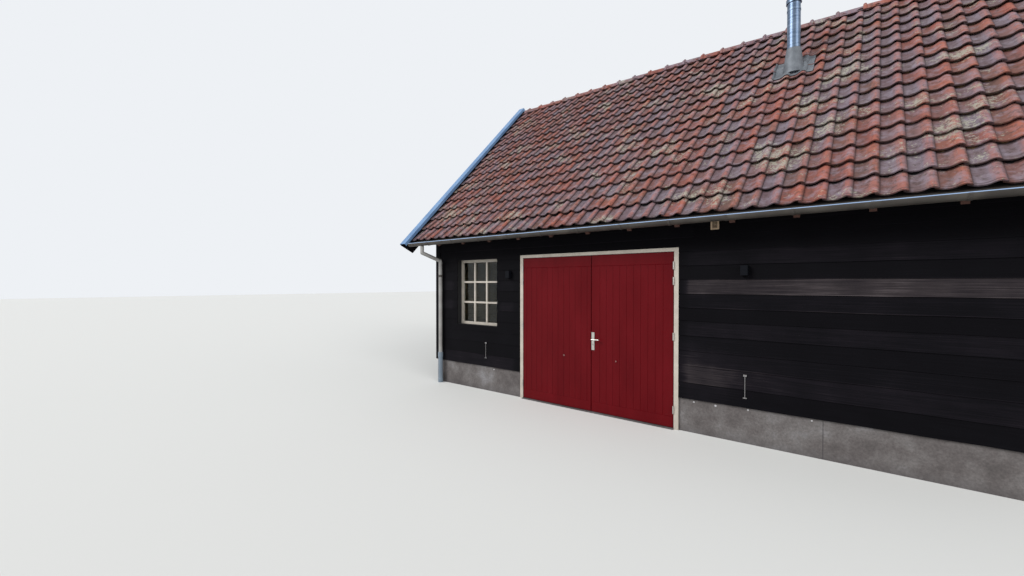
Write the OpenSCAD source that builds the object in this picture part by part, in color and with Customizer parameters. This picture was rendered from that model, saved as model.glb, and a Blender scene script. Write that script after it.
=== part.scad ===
// Black-boarded garden barn with a pantiled saddle roof and a pair of side-hung red doors.
// Origin on the ground at the middle of the plan, the door front faces -Y, +Z is up.
// All sizes are millimetres.

/* [Building] */
// Length of the building along the ridge, over the wall faces
building_l = 8000; // [7000:100:10000]
// Depth of the building from the front wall face to the back wall face
building_d = 6500; // [5500:100:7500]
// Thickness of the boarded timber walls
wall_t = 160; // [140:5:220]
// Height of the wall tops above the ground
wall_h = 2730; // [2650:10:3000]
// Height of the concrete plinth
plinth_h = 440; // [200:10:600]
// How far the plinth stands back behind the wall face
plinth_set_back = 10; // [5:1:30]
// Height of the floor above the paving outside
floor_t = 20; // [15:1:60]

/* [Roof] */
// Pitch of both roof slopes in degrees
pitch = 45; // [38:1:50]
// Height of the notch that seats a rafter on its plate
notch_h = 84; // [60:1:95]
// Height of the wall plates
plate_h = 100; // [80:5:140]
// Thickness of the ridge board
ridge_board_w = 50; // [38:1:75]
// Width of a rafter
rafter_w = 60; // [45:1:80]
// Depth of a rafter, square to the slope
rafter_d = 160; // [150:5:200]
// Spacing of the rafters along the building
rafter_pitch = 645; // [620:1:660]
// Place along the building of the rafter that the others are counted from
rafter_start = -567; // [-600:1:-540]
// Thickness of the roof boarding
boarding_t = 18; // [15:1:25]
// Depth of tiles and battens together, square to the slope
tile_layer = 65; // [55:1:80]
// Thickness of the tile tips at the eaves
tile_tip = 30; // [20:1:35]
// How far the tile tips lie below the top of the verge capping
tile_sunk = 60; // [50:1:80]
// Tile courses on each slope
tile_courses = 17; // [15:1:20]
// How far the lowest tile tips stay back from the end of the verge capping, along the slope
tips_back = 191; // [180:1:200]
// How far the rafter tails stay back from the end of the verge capping, along the slope
tails_back = 231; // [222:1:240]
// Distance of the tips of the top course from the ridge line
top_tip_s = 199; // [185:1:215]
// How much further the lowest course reaches than the others
eaves_lap = 28; // [0:1:45]
// How much a tile tip stands above the course under it
tile_lift = 30; // [15:1:40]
// Distance from the wall face to the lower end of the verge capping
eaves_out = 502; // [440:1:560]
// Distance from the gable face to the outer face of the verge capping
verge_out = 520; // [350:10:600]
// Width of the verge capping on top
cap_w = 150; // [120:1:200]
// Thickness of the folded zinc of the capping
cap_t = 3; // [2:0.5:5]
// How far the capping turns down over the barge board
cap_fold = 55; // [30:1:80]
// Thickness of the barge boards
barge_t = 22; // [18:1:30]
// Depth of the barge boards, square to the slope
barge_d = 320; // [310:1:360]
// How far the lower end of a barge board slants back under the eaves
barge_slant = 89; // [60:1:140]
// Height of a collar tie
collar_h = 150; // [100:5:200]
// Width of a collar tie
collar_w = 38; // [30:1:50]
// Height above the ground at which the collar ties lie
collar_z = 4500; // [4200:10:4700]
// Height of a tie beam
tie_h = 140; // [100:5:145]
// Width of a tie beam
tie_w = 75; // [60:1:100]

/* [Ridge tiles] */
// Outer radius of the half-round ridge tiles
ridge_r = 110; // [95:1:130]
// Thickness of a ridge tile
ridge_t = 15; // [12:1:20]
// Spacing of the ridge tile joints
ridge_pitch = 352; // [330:1:370]
// Length of the raised collar at each joint
ridge_collar = 55; // [30:1:80]
// How far the collar stands above the tile
ridge_rise = 8; // [4:1:14]

/* [Rainwater] */
// Outer radius of the half-round gutter
gutter_r = 58; // [50:1:66]
// Thickness of the gutter metal
gutter_t = 2.5; // [2:0.5:4]
// Distance from the wall face to the middle of the gutter
gutter_out = 385; // [375:1:400]
// Height of the gutter rim above the ground
gutter_z = 2677; // [2665:1:2690]
// Radius of the rolled bead on the front of the gutter
bead_r = 8; // [6:0.5:10]
// Number of gutter lengths that are joined end to end on each side
gutter_lengths = 6; // [4:1:9]
// How far the gutter spout reaches down into the downpipe
spout_l = 45; // [30:1:60]
// Width of a gutter bracket
bracket_w = 30; // [20:1:40]
// Thickness of a gutter bracket
bracket_t = 5; // [3:0.5:6]
// Outer radius of the upper downpipe
pipe_r = 35; // [30:1:40]
// Outer radius of the lower downpipe
foot_r = 42; // [40:1:52]
// Thickness of the pipe walls
pipe_t = 2.5; // [2:0.5:4]
// Height of the joint between upper and lower downpipe
pipe_joint_z = 550; // [300:10:900]
// Distance from the end of the building to the middle of the downpipe
pipe_from_end = 160; // [120:1:300]
// How much nearer the end of the building the gutter outlet is than the downpipe
outlet_side = 150; // [0:1:170]
// Space between the downpipe and the wall
pipe_off = 25; // [15:1:40]
// Height of the upper bend of the downpipe
upper_bend_z = 2486; // [2450:1:2510]
// Height of the lower bend of the downpipe
lower_bend_z = 2338; // [2250:1:2360]
// Height of the pipe clip
pipe_clip_z = 2035; // [1800:5:2150]

/* [Doors] */
// Middle of the doorway along the building
door_x = -600; // [-900:10:300]
// Clear width between the door posts
door_w = 2496; // [2200:2:2600]
// Height of a door leaf
leaf_h = 2300; // [2100:5:2300]
// Thickness of a door leaf
leaf_t = 54; // [45:1:70]
// Width of the face of a door post
post_w = 58; // [45:1:80]
// Height of the face of the door head
head_h = 48; // [40:1:80]
// How far the door frame stands in front of the wall face
frame_proud = 15; // [10:1:25]
// How far the stops project behind the leaves
stop_w = 20; // [15:1:30]
// Gap between a leaf and its post
leaf_gap = 8; // [6:0.5:10]
// Gap where the two leaves meet
meeting_gap = 10; // [9:0.5:14]
// How far the meeting line lies beside the middle of the doorway
meeting_shift = 30; // [0:1:60]
// Gap above and below a leaf
leaf_clear = 6; // [5:0.5:10]
// Height of the threshold
threshold_h = 12; // [8:1:18]
// How far the threshold reaches in front of the door frame
threshold_out = 35; // [20:1:60]

/* [Door fittings] */
// Outer radius of a hinge knuckle
knuckle_r = 8; // [7:0.5:9]
// Radius of a hinge pin
hinge_pin_r = 4; // [3:0.5:5]
// Clearance round a hinge pin
hinge_fit = 0.05; // [0.03:0.01:0.1]
// Length of a complete hinge, both knuckles
hinge_l = 100; // [80:2:120]
// Distance of the hinge axis in front of the leaf
hinge_out = 10; // [10:0.5:14]
// Height of the handle spindle
handle_z = 1084; // [1000:1:1150]
// Distance of the handle from the meeting edge of the leaf
handle_in = 29; // [28:1:80]
// Width of a handle plate
handle_plate_w = 46; // [40:1:60]
// Height of a handle plate
handle_plate_h = 260; // [200:5:280]
// Thickness of a handle plate
handle_plate_t = 8; // [6:0.5:12]
// Radius of the lever bar
lever_r = 9; // [7:0.5:11]
// Length of the lever from its axis
lever_l = 123; // [100:1:140]
// Distance of the lever bar in front of the leaf
lever_out = 55; // [45:1:65]
// Height of the stay eyes on the leaves
eye_z = 800; // [700:10:900]
// Distance of the stay eyes from the hinge axis
eye_in = 810; // [700:10:900]
// Length of a stay hook
hook_l = 265; // [200:5:320]
// Distance of a stay hook from the hinge axis
hook_in = 845; // [750:5:950]

/* [Windows] */
// Middle of the windows along the building
window_x = -2925; // [-3000:5:-2700]
// Width of a window opening
window_w = 990; // [800:10:1100]
// Height of a window opening
window_h = 1190; // [900:10:1200]
// Height of the window opening above the ground
window_z = 1150; // [900:10:1200]
// How far a window frame stands back behind the wall face
window_recess = 100; // [60:5:100]
// Depth of a window frame
window_frame_d = 60; // [50:1:60]
// Width of the face of a window frame
window_frame_w = 48; // [44:1:80]
// Thickness of the window glass
glass_t = 6; // [4:1:10]
// Depth of the glazing rebate
glass_rebate = 10; // [6:1:14]

/* [Fittings] */
// Width of a wall lamp
lamp_w = 78; // [60:1:100]
// Height of a wall lamp
lamp_h = 118; // [90:1:150]
// Depth of a wall lamp
lamp_d = 75; // [60:1:80]
// Height of the middle of the wall lamps
lamp_z = 2060; // [1950:5:2120]
// Distance of the left lamp from its hinge axis
left_lamp_in = 300; // [290:1:400]
// Distance of the right lamp from its hinge axis
right_lamp_in = 840; // [700:1:900]
// Width of the eaves vent
vent_w = 94; // [80:1:110]
// Distance of the eaves vent from the door frame
vent_in = 441; // [350:1:600]
// Height of the middle of the eaves vent
vent_z = 2628; // [2600:1:2640]
// Outer radius of the flue
flue_r = 88; // [75:1:100]
// Place of the flue along the building
flue_x = 1692; // [1650:1:1850]
// Distance of the flue in front of the ridge
flue_y = 1150; // [900:10:1500]
// Height of the top of the flue cowl
flue_top_z = 6520; // [6450:10:6900]
// Thickness of the insulated flue wall
flue_wall = 25; // [20:1:40]
// Height of the rain cowl over the flue pipe
cowl_h = 390; // [340:5:450]
// Height of the cone that seals the flue to the roof
cone_h = 220; // [180:5:260]
// How far the flashing sheet reaches sideways from the flue
sheet_side = 260; // [220:5:320]
// How far the flashing sheet reaches down the slope from the flue
sheet_down = 260; // [220:5:320]
// How far the flashing sheet reaches up the slope from the flue
sheet_up = 300; // [240:5:340]

/* [Hidden] */

$fn = 48;
eps = 1;                 // overshoot of a cutting shape
seat_gap = 0.3;          // clearance of a piece that is pushed into another
mitre_gap = 0.5;         // half of the gap where two boards meet at the ridge

half_l = building_l / 2;
half_d = building_d / 2;
front_y = -half_d;
inner_l = half_l - wall_t;
inner_d = half_d - wall_t;

// Depths below the top of the verge capping, square to the slope
tile_bottom = tile_sunk + tile_layer;
rafter_top = tile_bottom + boarding_t;
rafter_bottom = rafter_top + rafter_d;

plate_top = wall_h + plate_h;
ridge_z = plate_top - notch_h + rafter_bottom / cos(pitch) + half_d * tan(pitch);

// Lower ends measured down the slope from the ridge line
cap_s = (half_d + eaves_out) / cos(pitch);
tile_s = cap_s - tips_back;             // tile tips at the eaves
tail_s = cap_s - tails_back;            // rafters and boarding
first_course_s = tile_s - eaves_lap;   // where the tips would be without the overhang
tile_gauge = (first_course_s - top_tip_s) / (tile_courses - 1);  // length of a course that shows

verge_x = half_l + verge_out;
barge_x = verge_x - cap_t;             // outer face of the barge board
board_end_x = barge_x - barge_t - seat_gap;  // boarding, plates and ridge board end here
kerb_x = verge_x - cap_w;              // inner face of the verge capping
gutter_end_x = kerb_x - 10;

frame_y = front_y - frame_proud;       // front face of door frame and leaves
axis_y = frame_y - hinge_out;
axis_off = (door_w - leaf_gap) / 2;    // hinge axes either side of door_x
meeting_x = door_x + meeting_shift;
left_leaf_w = door_w / 2 + meeting_shift - leaf_gap - meeting_gap / 2;
right_leaf_w = door_w / 2 - meeting_shift - leaf_gap - meeting_gap / 2;
leaf_z = threshold_h + leaf_clear;
head_z = leaf_z + leaf_h + leaf_clear;
frame_top = head_z + head_h;
frame_half = door_w / 2 + post_w;
hinge_heights = [256, 1213, 1938, 2140];

gutter_y = half_d + gutter_out;
pipe_x = -half_l + pipe_from_end;
outlet_x = pipe_x - outlet_side;
pipe_y = half_d + pipe_off + pipe_r;

vent_x = door_x + frame_half + vent_in;
handle_x = meeting_x + meeting_gap / 2 + handle_in;

// Rafters stand inside the gables, their tails also at the gables themselves
first_rafter = ceil((-inner_l + rafter_w - rafter_start) / rafter_pitch);
last_rafter = floor((inner_l - rafter_w - rafter_start) / rafter_pitch);
function rafter_x(k) = rafter_start + k * rafter_pitch;
rafter_places = [for (k = [first_rafter:last_rafter]) rafter_x(k)];
bracket_places = [for (k = [first_rafter - 1:last_rafter + 1]) rafter_x(k)];

// Height of a plane at depth p below the capping, at distance y from the ridge line
function plane_z(y, p) = ridge_z - y * tan(pitch) - p / cos(pitch);
// Point at distance s down the slope and depth p below the capping
function slope_pt(s, p) = [s * cos(pitch) - p * sin(pitch), ridge_z - s * sin(pitch) - p * cos(pitch)];

module block(low, high) {
    translate(low) cube(high - low);
}

// A profile drawn as [distance from the ridge line, height], run along X from x0 to x1,
// on the back half; front() turns it to the front half.
module profile(x0, x1, points) {
    translate([x0, 0, 0]) rotate([90, 0, 90]) linear_extrude(x1 - x0) polygon(points);
}
module front() {
    mirror([0, 1, 0]) children();
}
module both_sides() {
    children();
    front() children();
}
module both_ends() {
    children();
    mirror([1, 0, 0]) children();
}

module floor_slab() color("darkgray")
    block([-inner_l, -inner_d, 0], [inner_l, inner_d, floor_t]);

module front_plinth() color("gray") {
    block([-half_l + plinth_set_back, front_y + plinth_set_back, 0],
          [door_x - frame_half, -inner_d, plinth_h]);
    block([door_x + frame_half, front_y + plinth_set_back, 0],
          [half_l - plinth_set_back, -inner_d, plinth_h]);
}

module back_plinth() color("gray")
    block([-half_l + plinth_set_back, inner_d, 0],
          [half_l - plinth_set_back, half_d - plinth_set_back, plinth_h]);

module gable_plinths() color("gray") both_ends()
    block([-half_l + plinth_set_back, -inner_d, 0], [-inner_l, inner_d, plinth_h]);

module window_hole() {
    block([window_x - window_w / 2, -half_d - eps, window_z],
          [window_x + window_w / 2, -inner_d + eps, window_z + window_h]);
}

module front_wall_left() color("#1a1614") difference() {
    block([-half_l, front_y, plinth_h], [door_x - frame_half, -inner_d, wall_h]);
    window_hole();
}

module front_wall_over_door() color("#1a1614")
    block([door_x - frame_half, front_y, frame_top], [door_x + frame_half, -inner_d, wall_h]);

module front_wall_right() color("#1a1614")
    block([door_x + frame_half, front_y, plinth_h], [half_l, -inner_d, wall_h]);

module back_wall() color("#1a1614") difference() {
    block([-half_l, inner_d, plinth_h], [half_l, half_d, wall_h]);
    front() window_hole();
}

// The gable wall fills the end up to the boarding and is cut out for the ridge board
module gable_wall() {
    ridge_cut = ridge_board_w / 2;
    half = [
        [inner_d, plinth_h], [inner_d, plate_top], [half_d, plate_top],
        [half_d, plane_z(half_d, rafter_top)], [ridge_cut, plane_z(ridge_cut, rafter_top)],
        [ridge_cut, plane_z(ridge_cut, rafter_bottom)]
    ];
    other = [for (i = [len(half) - 1:-1:0]) [-half[i][0], half[i][1]]];
    profile(-half_l, -inner_l, concat(half, other));
}
module left_gable_wall() color("#1a1614") gable_wall();
module right_gable_wall() color("#1a1614") mirror([1, 0, 0]) gable_wall();

module wall_plates() color("#6b5a45") both_sides()
    block([-board_end_x, inner_d, wall_h], [board_end_x, half_d, plate_top]);

// Boards that close the eaves between the rafters
module eaves_boards() color("#1a1614") both_sides() {
    stops = concat([-inner_l - rafter_w / 2], rafter_places, [inner_l + rafter_w / 2]);
    for (i = [0:len(stops) - 2])
        profile(stops[i] + rafter_w / 2, stops[i + 1] - rafter_w / 2, [
            [half_d - barge_t, plate_top], [half_d, plate_top],
            [half_d, plane_z(half_d, rafter_top)],
            [half_d - barge_t, plane_z(half_d - barge_t, rafter_top)]
        ]);
}

module ridge_board() color("#6b5a45")
    block([-board_end_x, -ridge_board_w / 2, plane_z(ridge_board_w / 2, rafter_bottom)],
          [board_end_x, ridge_board_w / 2, plane_z(ridge_board_w / 2, rafter_top)]);

function rafter_outline() = [
    [ridge_board_w / 2, plane_z(ridge_board_w / 2, rafter_top)],
    slope_pt(tail_s, rafter_top),
    slope_pt(tail_s, rafter_bottom),
    [half_d, plane_z(half_d, rafter_bottom)],
    [half_d, plate_top],
    [half_d - notch_h / tan(pitch), plate_top],
    [ridge_board_w / 2, plane_z(ridge_board_w / 2, rafter_bottom)]
];
function tail_outline() = [
    [half_d, plane_z(half_d, rafter_top)],
    slope_pt(tail_s, rafter_top),
    slope_pt(tail_s, rafter_bottom),
    [half_d, plane_z(half_d, rafter_bottom)]
];
module rafters() color("#6b5a45") both_sides() {
    for (x = rafter_places)
        profile(x - rafter_w / 2, x + rafter_w / 2, rafter_outline());
    for (x = [rafter_x(first_rafter - 1), rafter_x(last_rafter + 1)])
        profile(x - rafter_w / 2, x + rafter_w / 2, tail_outline());
}

module collar_ties() color("#6b5a45") {
    end_gap = 15;
    reach = (ridge_z - collar_z - collar_h) / tan(pitch) - rafter_top / sin(pitch) - end_gap;
    for (x = rafter_places)
        block([x - rafter_w / 2 - collar_w, -reach, collar_z],
              [x - rafter_w / 2, reach, collar_z + collar_h]);
}

module tie_beams() color("#6b5a45") {
    end_gap = 35;
    reach = half_d - end_gap;
    for (i = [0:2:len(rafter_places) - 1])
        block([rafter_places[i] + rafter_w / 2, -reach, plate_top],
              [rafter_places[i] + rafter_w / 2 + tie_w, reach, plate_top + tie_h]);
}

roof_hole_r = flue_r + 12;
module flue_hole(r) {
    reach = 600;
    translate([flue_x, -flue_y, plane_z(flue_y, 0) - reach]) cylinder(h = 2 * reach, r = r);
}

// Fine joints where boards and tiles are trimmed round the flue: two run all the way up the
// slope beside the hole, three run across between them
trim_half = roof_hole_r + 30;
module flue_trim_joints() {
    joint = seat_gap / 2;
    flue_s = flue_y / cos(pitch) + tile_bottom * tan(pitch);
    front() {
        for (x = [flue_x - trim_half, flue_x + trim_half])
            profile(x - joint, x + joint, [
                [-eps, plane_z(0, 0)], [half_d + eaves_out, plane_z(half_d + eaves_out, 0)],
                [half_d + eaves_out, plane_z(half_d + eaves_out, rafter_bottom)],
                [-eps, plane_z(0, rafter_bottom)]
            ]);
        for (s = [flue_s - 2 * trim_half, flue_s, flue_s + 2 * trim_half])
            profile(flue_x - trim_half, flue_x + trim_half, [
                slope_pt(s - joint, 0), slope_pt(s + joint, 0),
                slope_pt(s + joint, rafter_bottom), slope_pt(s - joint, rafter_bottom)
            ]);
    }
}

module roof_boarding() {
    profile(-board_end_x, board_end_x, [
        [mitre_gap, plane_z(mitre_gap, tile_bottom)], slope_pt(tail_s, tile_bottom),
        slope_pt(tail_s, rafter_top), [mitre_gap, plane_z(mitre_gap, rafter_top)]
    ]);
}
module front_roof_boarding() color("#2a211c") difference() {
    front() roof_boarding();
    flue_hole(roof_hole_r);
    flue_trim_joints();
}
module back_roof_boarding() color("#2a211c") roof_boarding();

// Each course is a wedge whose tip lies on the course below it
top_course_s = tile_bottom + 2;
function course_points() = [
    for (i = [0:tile_courses - 1])
        for (tip = [1, 0])
            let (s_tip = i == 0 ? tile_s : first_course_s - i * tile_gauge,
                 s_head = max(first_course_s - (i + 1) * tile_gauge, top_course_s),
                 p_head = tile_sunk + tile_lift * (s_tip - s_head) / tile_gauge)
            tip == 1 ? slope_pt(s_tip, tile_sunk) : slope_pt(s_head, p_head)
];
module roof_tiles() {
    profile(seat_gap - kerb_x, kerb_x - seat_gap, concat(
        [slope_pt(tail_s, tile_bottom), slope_pt(tail_s, tile_sunk + tile_tip),
         slope_pt(tile_s, tile_sunk + tile_tip)],
        course_points(), [slope_pt(top_course_s, tile_bottom)]));
}
module front_roof_tiles() color("#8c4a3c") difference() {
    front() roof_tiles();
    flue_hole(roof_hole_r);
    flue_trim_joints();
}
module back_roof_tiles() color("#8c4a3c") roof_tiles();

// Half-round tiles with a raised collar at each joint, bedded on the top courses
ridge_half = kerb_x - 110;
ridge_centre_z = plane_z(ridge_r, tile_sunk);
module half_round(x0, x1, r_out) {
    courses = course_points();
    top_two = [for (i = [2 * tile_courses - 4:2 * tile_courses - 1]) courses[i]];
    translate([x0, 0, 0]) rotate([90, 0, 90]) linear_extrude(x1 - x0) difference() {
        translate([0, ridge_centre_z]) difference() {
            circle(r_out);
            circle(ridge_r - ridge_t);
        }
        for (side = [0, 1])
            mirror([side, 0]) polygon(concat(top_two, [[-eps, top_two[3][1]], [-eps, 0], [top_two[0][0], 0]]));
    }
}
module ridge_tiles() color("#8c4a3c") {
    half_round(-ridge_half, ridge_half, ridge_r);
    for (x = [-ridge_half + ridge_pitch / 4:ridge_pitch:ridge_half - ridge_collar])
        half_round(x, x + ridge_collar, ridge_r + ridge_rise);
}

// Outer board with a kerb beside the tiles under the capping
barge_top = cap_t + seat_gap;
module barge_board() {
    nose_s = cap_s - 6;
    nose_p = barge_top + 69;
    profile(barge_x - barge_t, barge_x - seat_gap, [
        [mitre_gap, plane_z(mitre_gap, barge_top)], slope_pt(nose_s, barge_top),
        slope_pt(nose_s - 5, nose_p), slope_pt(nose_s - 5 - barge_slant, barge_d),
        [mitre_gap, plane_z(mitre_gap, barge_d)]
    ]);
    profile(kerb_x + cap_t + seat_gap, barge_x - barge_t - seat_gap, [
        [mitre_gap, plane_z(mitre_gap, barge_top)], slope_pt(tail_s, barge_top),
        slope_pt(tail_s, tile_bottom - seat_gap),
        [mitre_gap, plane_z(mitre_gap, tile_bottom - seat_gap)]
    ]);
}
module barge_boards() color("#1a1614") both_ends() both_sides() barge_board();

// Zinc capping with both edges turned down
module verge_cap() {
    profile(kerb_x, verge_x, [
        [mitre_gap, plane_z(mitre_gap, 0)], slope_pt(cap_s, 0),
        slope_pt(cap_s, cap_t), [mitre_gap, plane_z(mitre_gap, cap_t)]
    ]);
    profile(barge_x, verge_x, [
        [mitre_gap, plane_z(mitre_gap, 0)], slope_pt(cap_s, 0),
        slope_pt(cap_s, cap_fold), [mitre_gap, plane_z(mitre_gap, cap_fold)]
    ]);
    profile(kerb_x, kerb_x + cap_t, [
        [mitre_gap, plane_z(mitre_gap, 0)], slope_pt(cap_s, 0),
        slope_pt(cap_s, cap_fold), [mitre_gap, plane_z(mitre_gap, cap_fold)]
    ]);
}
module verge_caps() color("#9db4cc") both_ends() both_sides() verge_cap();

// Section of the half-round gutter with a rolled bead on its front rim
module lower_half(r) {
    intersection() {
        circle(r);
        translate([-r, -r]) square([2 * r, r]);
    }
}
module gutter_section() {
    difference() {
        union() {
            lower_half(gutter_r);
            translate([gutter_r - bead_r, 0]) circle(bead_r);
        }
        intersection() {
            circle(gutter_r - gutter_t);
            translate([-gutter_r, -gutter_r]) square([2 * gutter_r - 1.5 * bead_r, 2 * gutter_r]);
        }
    }
}
// Lengths joined end to end, with an end stop on the outer ones and a spout over the downpipe
module gutter() {
    spout_r = pipe_r - pipe_t - seat_gap;
    spout_z = gutter_z - gutter_r - spout_l;
    spout_in_gutter = 7;
    length = 2 * gutter_end_x / gutter_lengths;
    difference() {
        union() {
            for (i = [0:gutter_lengths - 1])
                translate([-gutter_end_x + i * length, gutter_y, gutter_z]) rotate([90, 0, 90])
                    linear_extrude(length - seat_gap) gutter_section();
            for (x = [-gutter_end_x, gutter_end_x - seat_gap - gutter_t])
                translate([x, gutter_y, gutter_z]) rotate([90, 0, 90])
                    linear_extrude(gutter_t) lower_half(gutter_r);
            translate([outlet_x, gutter_y, spout_z]) cylinder(h = spout_l + spout_in_gutter, r = spout_r);
        }
        translate([outlet_x, gutter_y, spout_z - eps])
            cylinder(h = spout_l + gutter_r / 2, r = spout_r - gutter_t);
    }
}
module gutters() color("#8f969c") both_sides() gutter();

// Flat steel strap under the gutter with a tail on the end of the rafter
module gutter_bracket(x) {
    strap_r = gutter_r + bracket_t;
    strap_back = gutter_y - gutter_r;
    tail_top = rafter_top + 12;
    tail_foot = rafter_top + 110;
    face = slope_pt(tail_s + seat_gap, tail_top);
    foot = slope_pt(tail_s + seat_gap, tail_foot);
    off = slope_pt(tail_s + bracket_t, tail_foot);
    corner = slope_pt(tail_s + bracket_t, tail_top + bracket_t);
    translate([x - bracket_w / 2, gutter_y, gutter_z]) rotate([90, 0, 90])
        linear_extrude(bracket_w) difference() {
            lower_half(strap_r);
            circle(gutter_r);
        }
    profile(x - bracket_w / 2, x + bracket_w / 2, [
        face, [strap_back, gutter_z], [strap_back, gutter_z - bracket_t], corner, off, foot
    ]);
}
module gutter_brackets() color("#7a6f66") both_sides()
    for (x = bracket_places) gutter_bracket(x);

// Pipe that leaves the gutter, slants back to the wall and drops beside it
function pipe_path() = [
    [outlet_x, gutter_y, gutter_z - gutter_r - spout_l / 4],
    [outlet_x, gutter_y, upper_bend_z],
    [pipe_x, pipe_y, lower_bend_z],
    [pipe_x, pipe_y, pipe_joint_z]
];
module tube_run(path, r) {
    for (i = [0:len(path) - 2]) {
        step = path[i + 1] - path[i];
        along = norm(step);
        translate(path[i])
            rotate([0, acos(step[2] / along), atan2(step[1], step[0])]) cylinder(h = along, r = r);
    }
    for (i = [1:len(path) - 2])
        translate(path[i]) sphere(r);
}
module downpipe() {
    path = pipe_path();
    clip_h = 28;
    clip_t = 4;
    clip_screw_r = 6;
    difference() {
        union() {
            tube_run(path, pipe_r);
            translate([pipe_x, pipe_y, pipe_clip_z]) cylinder(h = clip_h, r = pipe_r + clip_t);
            translate([pipe_x, half_d, pipe_clip_z + clip_h / 2]) rotate([-90, 0, 0])
                cylinder(h = pipe_off + clip_t, r = clip_screw_r);
        }
        tube_run([path[0] + [0, 0, eps], path[1], path[2], path[3] - [0, 0, eps]],
                 pipe_r - pipe_t);
    }
}
module downpipes() color("#8f969c") both_sides() downpipe();

// Heavier lower pipe with a socket that the upper pipe stands in, and a shoe at the ground
module downpipe_foot() {
    wall = 6;
    shoe_h = 70;
    socket_t = 5;
    socket_in = 30;
    socket_low = 60;
    slope_h = 10;
    bore = pipe_r + seat_gap;
    seat = pipe_r - pipe_t;
    translate([pipe_x, pipe_y, 0]) rotate_extrude() polygon([
        [foot_r - wall, 0], [foot_r + wall, 0], [foot_r + wall, shoe_h], [foot_r, shoe_h + slope_h],
        [foot_r, pipe_joint_z - socket_low - slope_h], [foot_r + socket_t, pipe_joint_z - socket_low],
        [foot_r + socket_t, pipe_joint_z + socket_in], [bore, pipe_joint_z + socket_in],
        [bore, pipe_joint_z], [seat, pipe_joint_z],
        [seat, pipe_joint_z - socket_low], [foot_r - wall, pipe_joint_z - socket_low - slope_h]
    ]);
}
module downpipe_feet() color("#7f8b99") both_sides() downpipe_foot();

flue_neck_z = flue_top_z - cowl_h;
flue_foot_z = plane_z(flue_y, rafter_bottom) - 60;
module flue_tube(r_out, r_in, z, h) {
    translate([flue_x, -flue_y, z]) difference() {
        cylinder(h = h, r = r_out);
        translate([0, 0, -eps]) cylinder(h = h + 2 * eps, r = r_in);
    }
}
module flue_pipe() color("#a9b4bf") {
    band_h = 26;
    band_t = 4;
    band_drop = 120;
    flue_tube(flue_r, flue_r - flue_wall, flue_foot_z, flue_neck_z - flue_foot_z);
    flue_tube(flue_r + band_t, flue_r - eps, flue_neck_z - band_drop, band_h);
}

// Rain cowl: a socket on the pipe, four legs and a cone over them
module flue_cowl() color("#a9b4bf") translate([flue_x, -flue_y, flue_neck_z]) {
    socket_h = 110;
    socket_t = 14;
    brim_r = flue_r + 46;
    brim_h = 6;
    hat_h = 110;
    hat_t = 10;
    hat_z = cowl_h - hat_h;
    leg_w = 20;
    leg_t = 5;
    leg_in_hat = 38;
    rotate_extrude() polygon([
        [flue_r - flue_wall, 0], [flue_r + socket_t, 0], [flue_r + socket_t, 60], [flue_r + 2, 75],
        [flue_r + 2, socket_h], [flue_r - 8, socket_h], [flue_r - flue_wall, 60]
    ]);
    for (a = [45:90:315]) rotate([0, 0, a])
        block([flue_r - 9, -leg_w / 2, socket_h - 20], [flue_r - 9 + leg_t, leg_w / 2, hat_z + leg_in_hat]);
    rotate_extrude() polygon([
        [0, hat_z + hat_h - hat_t], [12, hat_z + hat_h - hat_t], [brim_r, hat_z + brim_h],
        [brim_r, hat_z], [brim_r - brim_h, hat_z], [0, hat_z + hat_h - 2 * hat_t - 2]
    ]);
}

// Sheet on the tiles with a cone round the flue
module flue_flashing() color("#7d8288") {
    sheet_t = 3;
    cone_foot = 60;
    cone_lip = 6;
    sunk = 100;
    flue_s = flue_y / cos(pitch);
    cut_p = tile_sunk - sheet_t / 2;
    difference() {
        union() {
            front() profile(flue_x - sheet_side, flue_x + sheet_side, [
                slope_pt(flue_s - sheet_up, tile_sunk - sheet_t),
                slope_pt(flue_s + sheet_down, tile_sunk - sheet_t),
                slope_pt(flue_s + sheet_down, tile_sunk), slope_pt(flue_s - sheet_up, tile_sunk)
            ]);
            difference() {
                translate([flue_x, -flue_y, plane_z(flue_y, tile_sunk) - sunk])
                    cylinder(h = cone_h + sunk, r1 = flue_r + cone_foot, r2 = flue_r + cone_lip);
                front() profile(flue_x - sheet_side, flue_x + sheet_side, [
                    slope_pt(flue_s - sheet_up, cut_p), slope_pt(flue_s + sheet_down, cut_p),
                    slope_pt(flue_s + sheet_down, cut_p + 3 * sunk),
                    slope_pt(flue_s - sheet_up, cut_p + 3 * sunk)
                ]);
            }
        }
        flue_hole(flue_r + seat_gap);
    }
}

// Post with a stop behind the leaf
module door_posts() color("#e6dcc8") translate([door_x, 0, 0]) both_ends() {
    block([door_w / 2, frame_y, 0], [frame_half, -inner_d, frame_top - head_h]);
    block([door_w / 2 - stop_w, frame_y + leaf_t + leaf_clear, threshold_h],
          [door_w / 2, -inner_d, head_z]);
}
module door_head() color("#e6dcc8") translate([door_x, 0, 0]) {
    block([-frame_half, frame_y, head_z], [frame_half, -inner_d, frame_top]);
    block([-door_w / 2 + stop_w, frame_y + leaf_t + leaf_clear, head_z - stop_w],
          [door_w / 2 - stop_w, -inner_d, head_z]);
}

module door_threshold() color("#9a9a96")
    block([door_x - door_w / 2, frame_y - threshold_out, 0],
          [door_x + door_w / 2, -inner_d, threshold_h]);

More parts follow.
